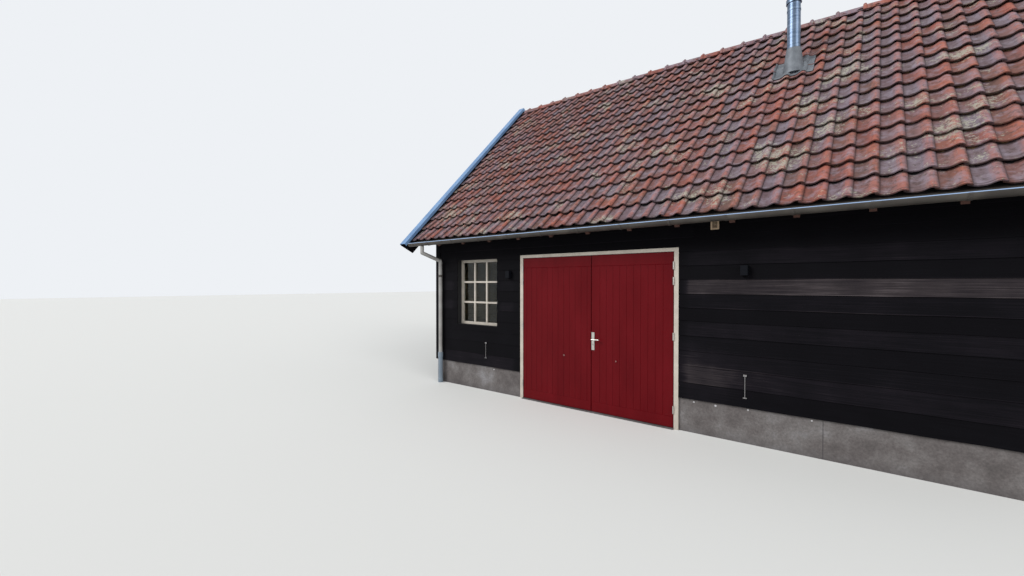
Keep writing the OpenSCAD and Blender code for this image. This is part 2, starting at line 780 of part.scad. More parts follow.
// Leaf drawn for the right-hand side: the hinge axis at X = 0, the leaf runs towards -X
module leaf(leaf_w) {
    block([-leaf_gap / 2 - leaf_w, hinge_out, leaf_z],
          [-leaf_gap / 2, hinge_out + leaf_t, leaf_z + leaf_h]);
}
module at_right_hinge() {
    translate([door_x + axis_off, axis_y, 0]) children();
}
module at_left_hinge() {
    translate([door_x - axis_off, axis_y, 0]) mirror([1, 0, 0]) children();
}

flap_t = 2;
knuckle_cap = 8;         // closed top of the upper knuckle over its pin
// Lower knuckle with its pin and the flap on the post
module hinge_pin(z) {
    translate([0, 0, z - hinge_l / 2]) {
        cylinder(h = hinge_l / 2 - seat_gap, r = knuckle_r);
        cylinder(h = hinge_l - knuckle_cap, r = hinge_pin_r);
        block([leaf_gap / 2 - flap_t, 0, 0],
              [leaf_gap / 2, hinge_out + leaf_t, hinge_l / 2 - seat_gap]);
    }
}
module hinge_pins() color("#c8ccd0") {
    at_right_hinge() for (z = hinge_heights) hinge_pin(z);
    at_left_hinge() for (z = hinge_heights) hinge_pin(z);
}

// Upper knuckle that drops over the pin, and the flap on the leaf
module hinge_knuckle(z) {
    translate([0, 0, z]) difference() {
        union() {
            cylinder(h = hinge_l / 2, r = knuckle_r);
            block([-leaf_gap / 2, 0, 0], [-leaf_gap / 2 + flap_t, hinge_out + leaf_t, hinge_l / 2]);
        }
        translate([0, 0, -eps])
            cylinder(h = hinge_l / 2 - knuckle_cap + 3 * eps, r = hinge_pin_r + hinge_fit);
    }
}
module stay_eye() {
    stem_l = 12;
    stem_r = 4;
    ring_r = 9;
    wire_r = 2.5;
    translate([-eye_in, hinge_out, eye_z]) rotate([90, 0, 0]) {
        cylinder(h = stem_l, r = stem_r);
        translate([0, 0, stem_l + ring_r - 2]) rotate([0, 90, 0])
            rotate_extrude() translate([ring_r, 0]) circle(wire_r);
    }
}
module leaf_fittings() {
    for (z = hinge_heights) hinge_knuckle(z);
    stay_eye();
}

module left_door() color("#7a1418") at_left_hinge() leaf(left_leaf_w);
module right_door() color("#7a1418") {
    spindle_hole_r = 12;
    difference() {
        at_right_hinge() leaf(right_leaf_w);
        translate([handle_x, frame_y + leaf_t + eps, handle_z]) rotate([90, 0, 0])
            cylinder(h = leaf_t + 2 * eps, r = spindle_hole_r);
    }
}
module left_door_fittings() color("#c8ccd0") at_left_hinge() leaf_fittings();
module right_door_fittings() color("#c8ccd0") at_right_hinge() leaf_fittings();

lever_fit = 0.1;
plate_below = 157;       // length of the handle plate under the lever axis
// Long plate with the bore that the lever neck turns in
module handle_plate() {
    difference() {
        block([-handle_plate_w / 2, -handle_plate_t, -plate_below],
              [handle_plate_w / 2, 0, handle_plate_h - plate_below]);
        translate([0, eps, 0]) rotate([90, 0, 0])
            cylinder(h = handle_plate_t + 2 * eps, r = lever_r + lever_fit);
    }
}
module at_handle() {
    translate([handle_x, frame_y, handle_z]) children();
}
module at_inner_handle() {
    translate([handle_x, frame_y + leaf_t, handle_z]) mirror([0, 1, 0]) children();
}
module handle_plates() color("#c8ccd0") {
    at_handle() handle_plate();
    at_inner_handle() handle_plate();
}
module lever() {
    rotate([90, 0, 0]) cylinder(h = lever_out, r = lever_r);
    translate([0, -lever_out, 0]) {
        sphere(lever_r);
        rotate([0, 90, 0]) cylinder(h = lever_l - lever_r, r = lever_r);
        translate([lever_l - lever_r, 0, 0]) sphere(lever_r);
    }
}
module door_lever() color("#c8ccd0") {
    spindle_r = 5;
    at_handle() lever();
    at_inner_handle() lever();
    translate([handle_x, frame_y + leaf_t, handle_z]) rotate([90, 0, 0])
        cylinder(h = leaf_t, r = spindle_r);
}

// Stay hook hanging flat against the wall from its screw plate
module stay_hook() {
    rod_y = -16;
    rod_r = 4;
    screw_r = 6;
    tip_l = 18;
    translate([0, front_y, 0]) {
        block([-11, -3, -14], [11, 0, 30]);
        rotate([90, 0, 0]) cylinder(h = tip_l, r = screw_r);
        translate([0, rod_y, -hook_l]) {
            cylinder(h = hook_l, r = rod_r);
            sphere(rod_r);
            rotate([0, -90, 0]) cylinder(h = tip_l, r = rod_r);
        }
    }
}
left_hook_up = 45;       // screws above the height of the stay eyes
right_hook_up = 10;
module stay_hooks() color("#8a8f94") {
    translate([door_x - axis_off - hook_in, 0, eye_z + left_hook_up]) stay_hook();
    translate([door_x + axis_off + hook_in, 0, eye_z + right_hook_up]) stay_hook();
}

module window_frame() {
    y0 = front_y + window_recess;
    x0 = window_x - window_w / 2;
    face = window_frame_w;
    back = window_frame_w - glass_rebate;
    difference() {
        block([x0, y0, window_z], [x0 + window_w, y0 + window_frame_d, window_z + window_h]);
        block([x0 + face, y0 - eps, window_z + face],
              [x0 + window_w - face, y0 + window_frame_d + eps, window_z + window_h - face]);
        block([x0 + back, y0 + window_frame_d / 2, window_z + back],
              [x0 + window_w - back, y0 + window_frame_d + eps, window_z + window_h - back]);
    }
}
module window_frames() color("#e6dcc8") {
    window_frame();
    front() window_frame();
}
module window_pane() {
    y0 = front_y + window_recess + window_frame_d / 2;
    back = window_frame_w - glass_rebate;
    block([window_x - window_w / 2 + back, y0, window_z + back],
          [window_x + window_w / 2 - back, y0 + glass_t, window_z + window_h - back]);
}
module window_glass() color("lightblue", 0.4) {
    window_pane();
    front() window_pane();
}

// Box lamp with a round light opening at the top and at the bottom
module wall_lamp() {
    lens_deep = 20;
    lens_rim = 12;
    translate([0, front_y, lamp_z]) difference() {
        block([-lamp_w / 2, -lamp_d, -lamp_h / 2], [lamp_w / 2, 0, lamp_h / 2]);
        for (z = [-lamp_h / 2 - eps, lamp_h / 2 - lens_deep])
            translate([0, -lamp_d / 2, z]) cylinder(h = lens_deep + eps, r = lamp_w / 2 - lens_rim);
    }
}
module wall_lamps() color("#202226") {
    translate([door_x - axis_off - left_lamp_in, 0, 0]) wall_lamp();
    translate([door_x + axis_off + right_lamp_in, 0, 0]) wall_lamp();
}

module eaves_vent() color("#d8c8b0") {
    vent_half_h = 58;
    vent_d = 28;
    vent_rim = 16;
    vent_back = 10;
    translate([vent_x, front_y, vent_z]) difference() {
        block([-vent_w / 2, -vent_d, -vent_half_h], [vent_w / 2, 0, vent_half_h]);
        block([-vent_w / 2 + vent_rim, -vent_d - eps, -vent_half_h + vent_rim],
              [vent_w / 2 - vent_rim, -vent_back, vent_half_h - vent_rim]);
    }
}

floor_slab();
front_plinth();
back_plinth();
gable_plinths();
front_wall_left();
front_wall_over_door();
front_wall_right();
back_wall();
left_gable_wall();
right_gable_wall();
wall_plates();
eaves_boards();
ridge_board();
rafters();
collar_ties();
tie_beams();
front_roof_boarding();
back_roof_boarding();
front_roof_tiles();
back_roof_tiles();
ridge_tiles();
barge_boards();
verge_caps();
gutters();
gutter_brackets();
downpipes();
downpipe_feet();
flue_pipe();
flue_cowl();
flue_flashing();
door_posts();
door_head();
door_threshold();
hinge_pins();
left_door();
left_door_fittings();
right_door();
right_door_fittings();
handle_plates();
door_lever();
stay_hooks();
window_frames();
window_glass();
wall_lamps();
eaves_vent();
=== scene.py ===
# %% [markdown]
# # A tarred barn with a pantiled roof
# This lesson dresses the plain building parts: boards on the walls, clay tiles on the roof, joints in the
# doors and bars in the windows. The parts stand in one shared frame, in metres: +X runs along the ridge,
# -Y is the door front, and the ground is at Z = 0.

# %% Load the building
import math
import random

import bmesh
import bpy
import numpy as np
from mathutils import Matrix, Vector


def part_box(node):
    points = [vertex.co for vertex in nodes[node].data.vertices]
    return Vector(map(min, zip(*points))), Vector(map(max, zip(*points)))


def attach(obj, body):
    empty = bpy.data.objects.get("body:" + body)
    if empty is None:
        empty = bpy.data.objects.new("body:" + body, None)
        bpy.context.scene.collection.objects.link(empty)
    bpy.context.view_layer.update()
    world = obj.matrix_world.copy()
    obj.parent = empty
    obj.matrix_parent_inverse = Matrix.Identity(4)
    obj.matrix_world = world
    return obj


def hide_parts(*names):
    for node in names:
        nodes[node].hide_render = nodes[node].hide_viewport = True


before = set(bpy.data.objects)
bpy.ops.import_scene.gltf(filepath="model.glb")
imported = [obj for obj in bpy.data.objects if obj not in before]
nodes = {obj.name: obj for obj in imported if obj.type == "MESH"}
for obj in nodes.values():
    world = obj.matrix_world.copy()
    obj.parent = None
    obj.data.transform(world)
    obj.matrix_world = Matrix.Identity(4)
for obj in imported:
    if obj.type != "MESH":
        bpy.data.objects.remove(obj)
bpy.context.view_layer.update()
rng = random.Random(17)

# %% [markdown]
# ## The main sizes
# Every size that the added pieces need is read from the building parts, so that a board or a tile lands
# where its wall or its slope is. The roof is easiest to think of in two numbers: the distance down the
# slope from the ridge, and the depth below the top of the metal verge capping.

# %% Read the main sizes
MM = 0.001
# Points that lie closer together than this count as one point
NEAR = 0.1 * MM
# The cappings end this far below the line where the two slopes would meet
CAP_BELOW_RIDGE = 0.5 * MM

half_l, half_d, wall_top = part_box("back_wall")[1]
cap_low, cap_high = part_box("verge_caps")
tile_low, tile_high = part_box("front_roof_tiles")
half_tiled = tile_high.x
ridge_z = cap_high.z + CAP_BELOW_RIDGE
pitch = math.radians(round(math.degrees(math.atan2(cap_high.z - cap_low.z, cap_high.y))))
print(f"walls {2 * half_l:.2f} x {2 * half_d:.2f} m, ridge line at {ridge_z:.3f} m,"
      f" pitch {math.degrees(pitch):.0f} deg")

# %% [markdown]
# ## The camera
# The photo was taken close to the door front with a wide lens, and the camera here repeats its place. A
# camera can be turned by three angles, but its matrix is easier to read: the three columns are the
# directions to its right, up, and backwards.

# %% Place the camera
CAMERA_PLACE = Vector((2.70, -9.081, 1.905))
CAMERA_RIGHT = Vector((0.77228, 0.63528, 0.0))
CAMERA_UP = Vector((-0.00642, 0.00781, 0.99995))
CAMERA_LENS_MM = 15.645
CAMERA_SENSOR_MM = 36.0
CAMERA_REACH = 200.0

camera_data = bpy.data.cameras.new("photo_camera")
camera = bpy.data.objects.new("photo_camera", camera_data)
bpy.context.scene.collection.objects.link(camera)
camera_data.lens = CAMERA_LENS_MM
camera_data.sensor_width = CAMERA_SENSOR_MM
camera_data.clip_end = CAMERA_REACH
backward = CAMERA_RIGHT.cross(CAMERA_UP)
camera.matrix_world = Matrix.Translation(CAMERA_PLACE) @ Matrix(
    (CAMERA_RIGHT, CAMERA_UP, backward)).transposed().to_4x4()
bpy.context.scene.camera = camera
bpy.context.scene.view_settings.view_transform = "Standard"
print("camera", [round(c, 3) for c in camera.location], "lens", CAMERA_LENS_MM, "mm")

# %% [markdown]
# ## Helpers for modelling by hand
# An operator works on whatever is selected, so each helper first clears the selection. A finished piece
# keeps its place in its mesh while its object sits at the origin, because patterns are drawn in the
# object's own coordinates.


# %% Select and settle
def clear_selection():
    """Leaves edit mode and deselects everything."""
    if bpy.context.object and bpy.context.object.mode != "OBJECT":
        bpy.ops.object.mode_set(mode="OBJECT")
    bpy.ops.object.select_all(action="DESELECT")


def pick(obj):
    """Makes one object the selected and active one."""
    clear_selection()
    obj.select_set(True)
    bpy.context.view_layer.objects.active = obj


def settle(obj):
    """Puts the object's place, turn and size into its mesh."""
    pick(obj)
    bpy.ops.object.transform_apply(location=True, rotation=True, scale=True)
    return obj


def remove(obj):
    """Takes a helper shape out of the scene."""
    bpy.data.objects.remove(obj, do_unlink=True)


print("selection helpers ready")

# %% [markdown]
# Nearly every piece starts as a box or a rod, added at its size and place. What edit mode can't do quickly,
# such as a row of copies or a wall thickness, a modifier does. It is applied at once, so that the mesh
# itself has the shape and the next tool can work on it.


# %% Starting shapes and modifiers
def add_box(name, low, high):
    """A cube stretched between two corners."""
    low, high = Vector(low), Vector(high)
    clear_selection()
    bpy.ops.mesh.primitive_cube_add(size=1, location=(low + high) / 2, scale=high - low)
    box = bpy.context.object
    box.name = box.data.name = name
    return settle(box)


def add_round(name, radius, start, end, vertices=24):
    """A cylinder between two points."""
    start, end = Vector(start), Vector(end)
    turn = (end - start).to_track_quat("Z", "Y").to_euler()
    clear_selection()
    bpy.ops.mesh.primitive_cylinder_add(vertices=vertices, radius=radius, depth=(end - start).length,
                                        location=(start + end) / 2, rotation=turn)
    rod = bpy.context.object
    rod.name = rod.data.name = name
    return settle(rod)


def finish_with(obj, kind, **settings):
    """Adds one modifier and applies it."""
    pick(obj)
    modifier = obj.modifiers.new(kind.lower(), kind)
    for key, value in settings.items():
        setattr(modifier, key, value)
    bpy.ops.object.modifier_apply(modifier=modifier.name)
    return obj


print("starting shapes ready")

# %% [markdown]
# By hand, one clicks on the faces or edges to shape. In code they are picked by where they lie, which goes
# on working when a size changes. A mirror can turn a shape inside out, so there is a tool for that too.


# %% Work in edit mode
def edit(obj, mode="FACE"):
    """Enters edit mode with nothing selected and hands back the edit mesh."""
    pick(obj)
    bpy.ops.object.mode_set(mode="EDIT")
    bpy.ops.mesh.select_mode(type=mode)
    bpy.ops.mesh.select_all(action="DESELECT")
    return bmesh.from_edit_mesh(obj.data)


def select_where(obj, kind, wanted):
    """In edit mode, selects the verts, edges or faces that pass a test."""
    bm = bmesh.from_edit_mesh(obj.data)
    for element in getattr(bm, kind):
        if wanted(element):
            element.select_set(True)
    bm.select_flush_mode()
    bmesh.update_edit_mesh(obj.data)


def leave_edit():
    """Goes back to object mode."""
    bpy.ops.object.mode_set(mode="OBJECT")


def turn_outwards(obj):
    """Makes every face of a closed shape point outwards."""
    edit(obj)
    bpy.ops.mesh.select_all(action="SELECT")
    bpy.ops.mesh.normals_make_consistent(inside=False)
    leave_edit()


print("edit mode helpers ready")

# %% [markdown]
# What repeats is modelled once and copied, and each copy gets a mesh of its own, so that it can be cut or
# bent by itself. Copies that belong together are joined into one named piece. A tone is a value stored in
# the mesh, with which one material can colour every board or tile a little differently.


# %% Copy, join and tone
def copy_of(obj, name, matrix):
    """A copy with its own mesh, moved by a matrix."""
    copy = obj.copy()
    copy.data = obj.data.copy()
    copy.name = copy.data.name = name
    copy.data.transform(matrix)
    bpy.context.scene.collection.objects.link(copy)
    return copy


def join(name, pieces):
    """Joins pieces into one named object."""
    clear_selection()
    for p in pieces:
        p.select_set(True)
    bpy.context.view_layer.objects.active = pieces[0]
    if len(pieces) > 1:
        bpy.ops.object.join()
    joined = bpy.context.object
    joined.name = joined.data.name = name
    return joined


def set_tone(obj, tone, name="tone"):
    """One value from 0 to 1 for the whole mesh, which its material reads as an attribute."""
    layer = obj.data.attributes.get(name) or obj.data.attributes.new(name, "FLOAT", "POINT")
    layer.data.foreach_set("value", np.full(len(obj.data.vertices), tone, np.float32))
    return obj


def smooth(obj, degrees=35):
    """Rounds the shading across edges that bend less than this."""
    pick(obj)
    bpy.ops.object.shade_smooth_by_angle(angle=math.radians(degrees))
    return obj


print("copy and join helpers ready")

# %% [markdown]
# ## Helpers for materials
# Colours are written as sRGB hex values and turned to linear in one place. One function adds a node,
# gives it its settings and links its inputs, so that a material reads from top to bottom. A pattern is
# planned by the size of its cells on the real thing, in millimetres, from which its scale is worked out.


# %% Material helpers
def linear(hex_colour):
    """sRGB hex to linear RGBA."""
    channels = [int(hex_colour[i:i + 2], 16) / 255 for i in (1, 3, 5)]
    return tuple(c / 12.92 if c <= 0.04045 else ((c + 0.055) / 1.055) ** 2.4 for c in channels) + (1.0,)


def add_node(tree, kind, inputs=None, stops=(), **settings):
    """Adds a node; a tuple (node, output) in inputs is a link, anything else a value.

    stops are the places and hex colours of a colour ramp.
    """
    node = tree.nodes.new(kind)
    while len(stops) > len(node.color_ramp.elements if stops else ()):
        node.color_ramp.elements.new(0.5)
    for i, (place, colour) in enumerate(stops):
        node.color_ramp.elements[i].position = place
        node.color_ramp.elements[i].color = linear(colour)
    for key, value in settings.items():
        setattr(node, key, value)
    for key, value in (inputs or {}).items():
        if isinstance(value, tuple) and isinstance(value[0], bpy.types.Node):
            tree.links.new(value[0].outputs[value[1]], node.inputs[key])
        else:
            node.inputs[key].default_value = value
    return node


def new_material(name, roughness, metallic=0.0, **sockets):
    """A Principled material; returns it with its tree, shader and object coordinates."""
    material = bpy.data.materials.new(name)
    material.use_nodes = True
    tree = material.node_tree
    shader = tree.nodes["Principled BSDF"]
    shader.inputs["Roughness"].default_value = roughness
    shader.inputs["Metallic"].default_value = metallic
    for key, value in sockets.items():
        shader.inputs[key.replace("_", " ")].default_value = value
    place = add_node(tree, "ShaderNodeTexCoord")
    return material, tree, shader, place


def per_metre(cell_mm):
    """The scale of a pattern: how many of its cells fit in a metre."""
    return 1000 / cell_mm


print("material helpers ready")

# %% [markdown]
# ## Tarred boards
# Black farm boards are rough-sawn softwood brushed with tar. The tar is nearly black and dull, and where
# weather has thinned it the grey-brown wood looks through. A grain could be modelled in the mesh, but noise
# that is stretched along the board is lighter and never repeats. Each board has its own tone, and the grain
# runs along the board, so there is one material for boards along X and one for boards along Y.


# %% Tarred board material
# Real grain is two or three millimetres wide. It is drawn wider, to show from where the camera stands.
TAR_GRAIN_LONG, TAR_GRAIN_WIDE = 520.83, 10.417
TAR_PATCH = 434.78


def tarred_boards(name, along, wear=0.0):
    """Boards with their grain along X or Y; wear is how much of the tar is gone, from 0 to 1."""
    material, tree, shader, place = new_material(name, 0.7, Specular_IOR_Level=0.06)
    grain_place = add_node(tree, "ShaderNodeMapping", {
        "Vector": (place, "Object"),
        "Scale": [per_metre(TAR_GRAIN_LONG if axis == along else TAR_GRAIN_WIDE) for axis in "XYZ"]})
    grain = add_node(tree, "ShaderNodeTexNoise", {
        "Vector": (grain_place, "Vector"), "Scale": 1.0, "Detail": 7.0, "Roughness": 0.66})
    patch = add_node(tree, "ShaderNodeTexNoise", {
        "Vector": (place, "Object"), "Scale": per_metre(TAR_PATCH), "Detail": 4.0})
    tone = add_node(tree, "ShaderNodeAttribute", attribute_name="tone")
    streaks = add_node(tree, "ShaderNodeMapRange", {
        "Value": (grain, "Fac"), "From Min": 0.3, "From Max": 0.7,
        "To Min": wear - 0.16, "To Max": wear + 0.2})
    patches = add_node(tree, "ShaderNodeMapRange", {
        "Value": (patch, "Fac"), "From Min": 0.3, "From Max": 0.7, "To Min": -0.1, "To Max": 0.1})
    worn = add_node(tree, "ShaderNodeMath", {0: (streaks, "Result"), 1: (patches, "Result")}, operation="ADD")
    worn = add_node(tree, "ShaderNodeMath", {0: (worn, "Value"), 1: (tone, "Fac")}, operation="ADD")
    colour = add_node(tree, "ShaderNodeValToRGB", {"Fac": (worn, "Value")}, stops=[
        (0.0, "#050407"), (0.25, "#09080C"), (0.5, "#151217"), (0.78, "#322D2F"), (1.0, "#544D4F")])
    tree.links.new(colour.outputs["Color"], shader.inputs["Base Color"])
    shine = add_node(tree, "ShaderNodeMapRange", {"Value": (grain, "Fac"), "To Min": 0.55, "To Max": 0.85})
    tree.links.new(shine.outputs["Result"], shader.inputs["Roughness"])
    bump = add_node(tree, "ShaderNodeBump", {
        "Height": (grain, "Fac"), "Strength": 0.55, "Distance": 3.0 * MM})
    tree.links.new(bump.outputs["Normal"], shader.inputs["Normal"])
    return material


tarred_along_x = tarred_boards("tarred_softwood_boards_x", "X")
tarred_along_y = tarred_boards("tarred_softwood_boards_y", "Y")
tarred_verge = tarred_boards("tarred_verge_boards", "Y", wear=0.42)
print("made", tarred_along_x.name, tarred_along_y.name, tarred_verge.name)

# %% [markdown]
# ## Sawn timber
# Rafters, plates and the inside of the walls are sawn softwood left as it came from the saw: warm
# grey-brown with darker growth rings. The wall and roof parts are tarred on the outside and bare inside.
# They could be cut in two for that, but it is simpler when their material asks how far from the middle of
# the building a point lies.


# %% Sawn timber materials
# Growth rings too are drawn wider than they are
RING_LONG, RING_WIDE = 357.14, 17.857
# Tar begins at the outer faces of the gables, and a little inside the middle of the long walls, so that
# it takes in what shows of the reveals
TAR_IN_X, TAR_IN_Y = 2 * MM, 102 * MM


def sawn_timber(name, along, light="#8F7352", dark="#54402B", tar_outside=False):
    """Bare timber with its grain along X, Y or Z; tar_outside blackens it outside the building."""
    material, tree, shader, place = new_material(name, 0.8)
    grain_place = add_node(tree, "ShaderNodeMapping", {
        "Vector": (place, "Object"),
        "Scale": [per_metre(RING_LONG if axis == along else RING_WIDE) for axis in "XYZ"]})
    grain = add_node(tree, "ShaderNodeTexNoise", {
        "Vector": (grain_place, "Vector"), "Scale": 1.0, "Detail": 6.0, "Roughness": 0.6})
    colour = add_node(tree, "ShaderNodeValToRGB", {"Fac": (grain, "Fac")},
                      stops=[(0.30, dark), (0.52, light), (0.75, dark)])
    skin = (colour, "Color")
    if tar_outside:
        spot = add_node(tree, "ShaderNodeSeparateXYZ", {"Vector": (place, "Object")})
        past = []
        for axis, edge in (("X", half_l - TAR_IN_X), ("Y", half_d - TAR_IN_Y)):
            far = add_node(tree, "ShaderNodeMath", {0: (spot, axis)}, operation="ABSOLUTE")
            past.append(add_node(tree, "ShaderNodeMath", {0: (far, "Value"), 1: edge},
                                 operation="GREATER_THAN"))
        outside = add_node(tree, "ShaderNodeMath", {0: (past[0], "Value"), 1: (past[1], "Value")},
                           operation="MAXIMUM")
        tar = add_node(tree, "ShaderNodeMix", {
            "Factor": (outside, "Value"), 6: skin, 7: linear("#0B0A0D")}, data_type="RGBA")
        skin = (tar, 2)
    tree.links.new(skin[0].outputs[skin[1]], shader.inputs["Base Color"])
    bump = add_node(tree, "ShaderNodeBump", {
        "Height": (grain, "Fac"), "Strength": 0.4, "Distance": 2.0 * MM})
    tree.links.new(bump.outputs["Normal"], shader.inputs["Normal"])
    return material


wall_timber_x = sawn_timber("sawn_wall_timber_x", "X", "#A38560", "#6B5236", tar_outside=True)
wall_timber_y = sawn_timber("sawn_wall_timber_y", "Y", "#A38560", "#6B5236", tar_outside=True)
roof_boards = sawn_timber("sawn_roof_boards", "X", tar_outside=True)
rafter_timber = sawn_timber("sawn_rafter_timber", "Y", "#4E2F25", "#2E1B15")
beam_timber_x = sawn_timber("sawn_beam_timber_x", "X")
beam_timber_y = sawn_timber("sawn_beam_timber_y", "Y")
print("made", wall_timber_x.name, rafter_timber.name, beam_timber_x.name)

# %% [markdown]
# ## Courses of clay tiles
# The tiles lie in courses, counted from the ridge to the eaves. The distance from one course's tips to the
# next is called the gauge. It follows from the length of the slope, as on a real roof, where the tiler
# spreads the courses evenly before the first tile is hung.

# %% Sizes of the tiling
COURSES = 17
COLUMNS = 42
EAVES_LAP = 28 * MM
TOP_TIP = 199 * MM
TILE_SUNK = 60 * MM

cover_w = 2 * half_tiled / COLUMNS
eaves_s = abs(tile_low.y) / math.cos(pitch) + TILE_SUNK
gauge = (eaves_s - EAVES_LAP - TOP_TIP) / (COURSES - 1)
print(f"tile cover {cover_w:.4f} m, gauge {gauge:.4f} m")

# %% [markdown]
# ## Fired clay
# The tiles are moulded clay, burnt in a kiln where some lay closer to the fire: they range from orange red
# over brick to a purple brown. Weather lays a grey-lilac bloom and dirt over that in patches, and lichen and
# a little moss in spots. The material lays these one over the other, together with painted light: a red
# painted highlight on the rolls, painted shade in the pans and along the seams where one tile laps the next,
# and in the courses a painted shadow under the tips of the course above. Each tile carries three values in
# its mesh: its own tone, how high on the roll a point lies, and how much painted shade lies along its seams.


# %% Clay tile material
# Cells of the patterns in millimetres: streaks run down the tile, and bloom is as large as a hand
CLAY_STREAK = (19.231, 166.67, 166.67)
CLAY_BLOOM, CLAY_DIRT, LICHEN_SPOTS, LICHEN_REGIONS = 142.86, 52.632, 33.333, 454.55
# The painted shadow under the tips of a course fades between these distances from them
SHADOW_FADES, SHADOW_FULL = 20 * MM, 2 * MM


def clay_tiles(name, in_courses):
    """Burnt clay; in_courses adds the painted shadow that lies below the tips of the course above."""
    material, tree, shader, place = new_material(name, 0.75, Specular_IOR_Level=0.3)
    # The third attribute is the painted shade along the seams where one tile laps the next
    tone, roll, seam_shade = [add_node(tree, "ShaderNodeAttribute", attribute_name=attribute)
                         for attribute in ("tone", "roll", "seam_shade")]
    fired = add_node(tree, "ShaderNodeValToRGB", {"Fac": (tone, "Fac")}, stops=[
        (0.0, "#8E5145"), (0.18, "#7A4A44"), (0.36, "#7F5E5C"), (0.52, "#6C5860"),
        (0.68, "#756A74"), (0.84, "#6A4B43"), (1.0, "#96594A")])
    streak_place = add_node(tree, "ShaderNodeMapping", {
        "Vector": (place, "Object"), "Scale": [per_metre(cell) for cell in CLAY_STREAK]})
    streak = add_node(tree, "ShaderNodeTexNoise", {
        "Vector": (streak_place, "Vector"), "Scale": 1.0, "Detail": 5.0})
    high = add_node(tree, "ShaderNodeMath", {0: (roll, "Fac"), 1: (streak, "Fac")}, operation="MULTIPLY")
    # Painted highlight: the high parts of the rolls are painted lighter and redder
    roll_highlight = add_node(tree, "ShaderNodeMapRange", {
        "Value": (high, "Value"), "From Min": 0.18, "From Max": 0.6, "To Max": 0.62})
    # Painted shade: the low pans are painted darker
    pan_shade = add_node(tree, "ShaderNodeMapRange", {
        "Value": (roll, "Fac"), "From Min": 0.3, "From Max": 0.0, "To Max": 0.45})
    patch = add_node(tree, "ShaderNodeTexNoise", {
        "Vector": (place, "Object"), "Scale": per_metre(CLAY_BLOOM), "Detail": 6.0, "Roughness": 0.7})
    bloom = add_node(tree, "ShaderNodeMapRange", {
        "Value": (patch, "Fac"), "From Min": 0.46, "From Max": 0.66, "To Max": 0.62})
    cloud = add_node(tree, "ShaderNodeTexNoise", {
        "Vector": (place, "Object"), "Scale": per_metre(CLAY_DIRT), "Detail": 8.0, "Roughness": 0.7})
    dirt = add_node(tree, "ShaderNodeMapRange", {
        "Value": (cloud, "Fac"), "From Min": 0.5, "From Max": 0.68, "To Max": 0.8})
    # Lichen grows in some regions only, so its spots are multiplied by a slow pattern of regions
    spots = add_node(tree, "ShaderNodeTexNoise", {
        "Vector": (place, "Object"), "Scale": per_metre(LICHEN_SPOTS), "Detail": 6.0, "Roughness": 0.75})
    region = add_node(tree, "ShaderNodeTexNoise", {
        "Vector": (place, "Object"), "Scale": per_metre(LICHEN_REGIONS), "Detail": 3.0})
    both = add_node(tree, "ShaderNodeMath", {0: (spots, "Fac"), 1: (region, "Fac")}, operation="MULTIPLY")
    lichen = add_node(tree, "ShaderNodeMapRange", {
        "Value": (both, "Value"), "From Min": 0.31, "From Max": 0.35, "To Max": 0.7})
    moss = add_node(tree, "ShaderNodeMapRange", {
        "Value": (spots, "Fac"), "From Min": 0.335, "From Max": 0.315, "To Max": 0.8})
    # Painted shade along the seams; in the courses also the painted shadow under the tips of the course above
    lap_shadow = add_node(tree, "ShaderNodeMath", {0: (seam_shade, "Fac"), 1: 0.85}, operation="MULTIPLY")
    if in_courses:
        # How far down the slope from the ridge a point lies, then how far past the last row of tips
        spot = add_node(tree, "ShaderNodeSeparateXYZ", {"Vector": (place, "Object")})
        out = add_node(tree, "ShaderNodeMath", {0: (spot, "Y")}, operation="ABSOLUTE")
        out = add_node(tree, "ShaderNodeMath", {0: (out, "Value"), 1: math.cos(pitch)}, operation="MULTIPLY")
        down = add_node(tree, "ShaderNodeMath", {
            0: (spot, "Z"), 1: -math.sin(pitch), 2: (out, "Value")}, operation="MULTIPLY_ADD")
        past = add_node(tree, "ShaderNodeMath", {
            0: (down, "Value"), 1: ridge_z * math.sin(pitch) - TOP_TIP}, operation="ADD")
        past = add_node(tree, "ShaderNodeMath", {0: (past, "Value"), 1: gauge}, operation="FLOORED_MODULO")
        # Painted shadow of the tips, strongest just under them
        band = add_node(tree, "ShaderNodeMapRange", {
            "Value": (past, "Value"), "From Min": SHADOW_FADES, "From Max": SHADOW_FULL, "To Max": 0.75})
        lap_shadow = add_node(tree, "ShaderNodeMath", {0: (lap_shadow, "Value"), 1: (band, "Result")},
                        operation="MAXIMUM")
    skin = (fired, "Color")
    # Layers: tone, painted highlight on the rolls (#A5604E), painted shade in the pans (#4B3835), bloom,
    # dirt, lichen, moss, and painted shade and shadow at the seams and tips (#2A1A16)
    for amount, colour in (((roll_highlight, "Result"), "#A5604E"), ((pan_shade, "Result"), "#4B3835"),
                           ((bloom, "Result"), "#8B828E"), ((dirt, "Result"), "#3D302C"),
                           ((lichen, "Result"), "#A3A292"), ((moss, "Result"), "#4A4A24"),
                           ((lap_shadow, "Value"), "#2A1A16")):
        layer = add_node(tree, "ShaderNodeMix", {"Factor": amount, 6: skin, 7: linear(colour)},
                         data_type="RGBA")
        skin = (layer, 2)
    tree.links.new(skin[0].outputs[skin[1]], shader.inputs["Base Color"])
    bump = add_node(tree, "ShaderNodeBump", {
        "Height": (cloud, "Fac"), "Strength": 0.35, "Distance": 2.5 * MM})
    tree.links.new(bump.outputs["Normal"], shader.inputs["Normal"])
    return material


clay = clay_tiles("fired_clay_pantile", in_courses=True)
ridge_clay = clay_tiles("fired_clay_ridge_tile", in_courses=False)
print("made", clay.name, ridge_clay.name)

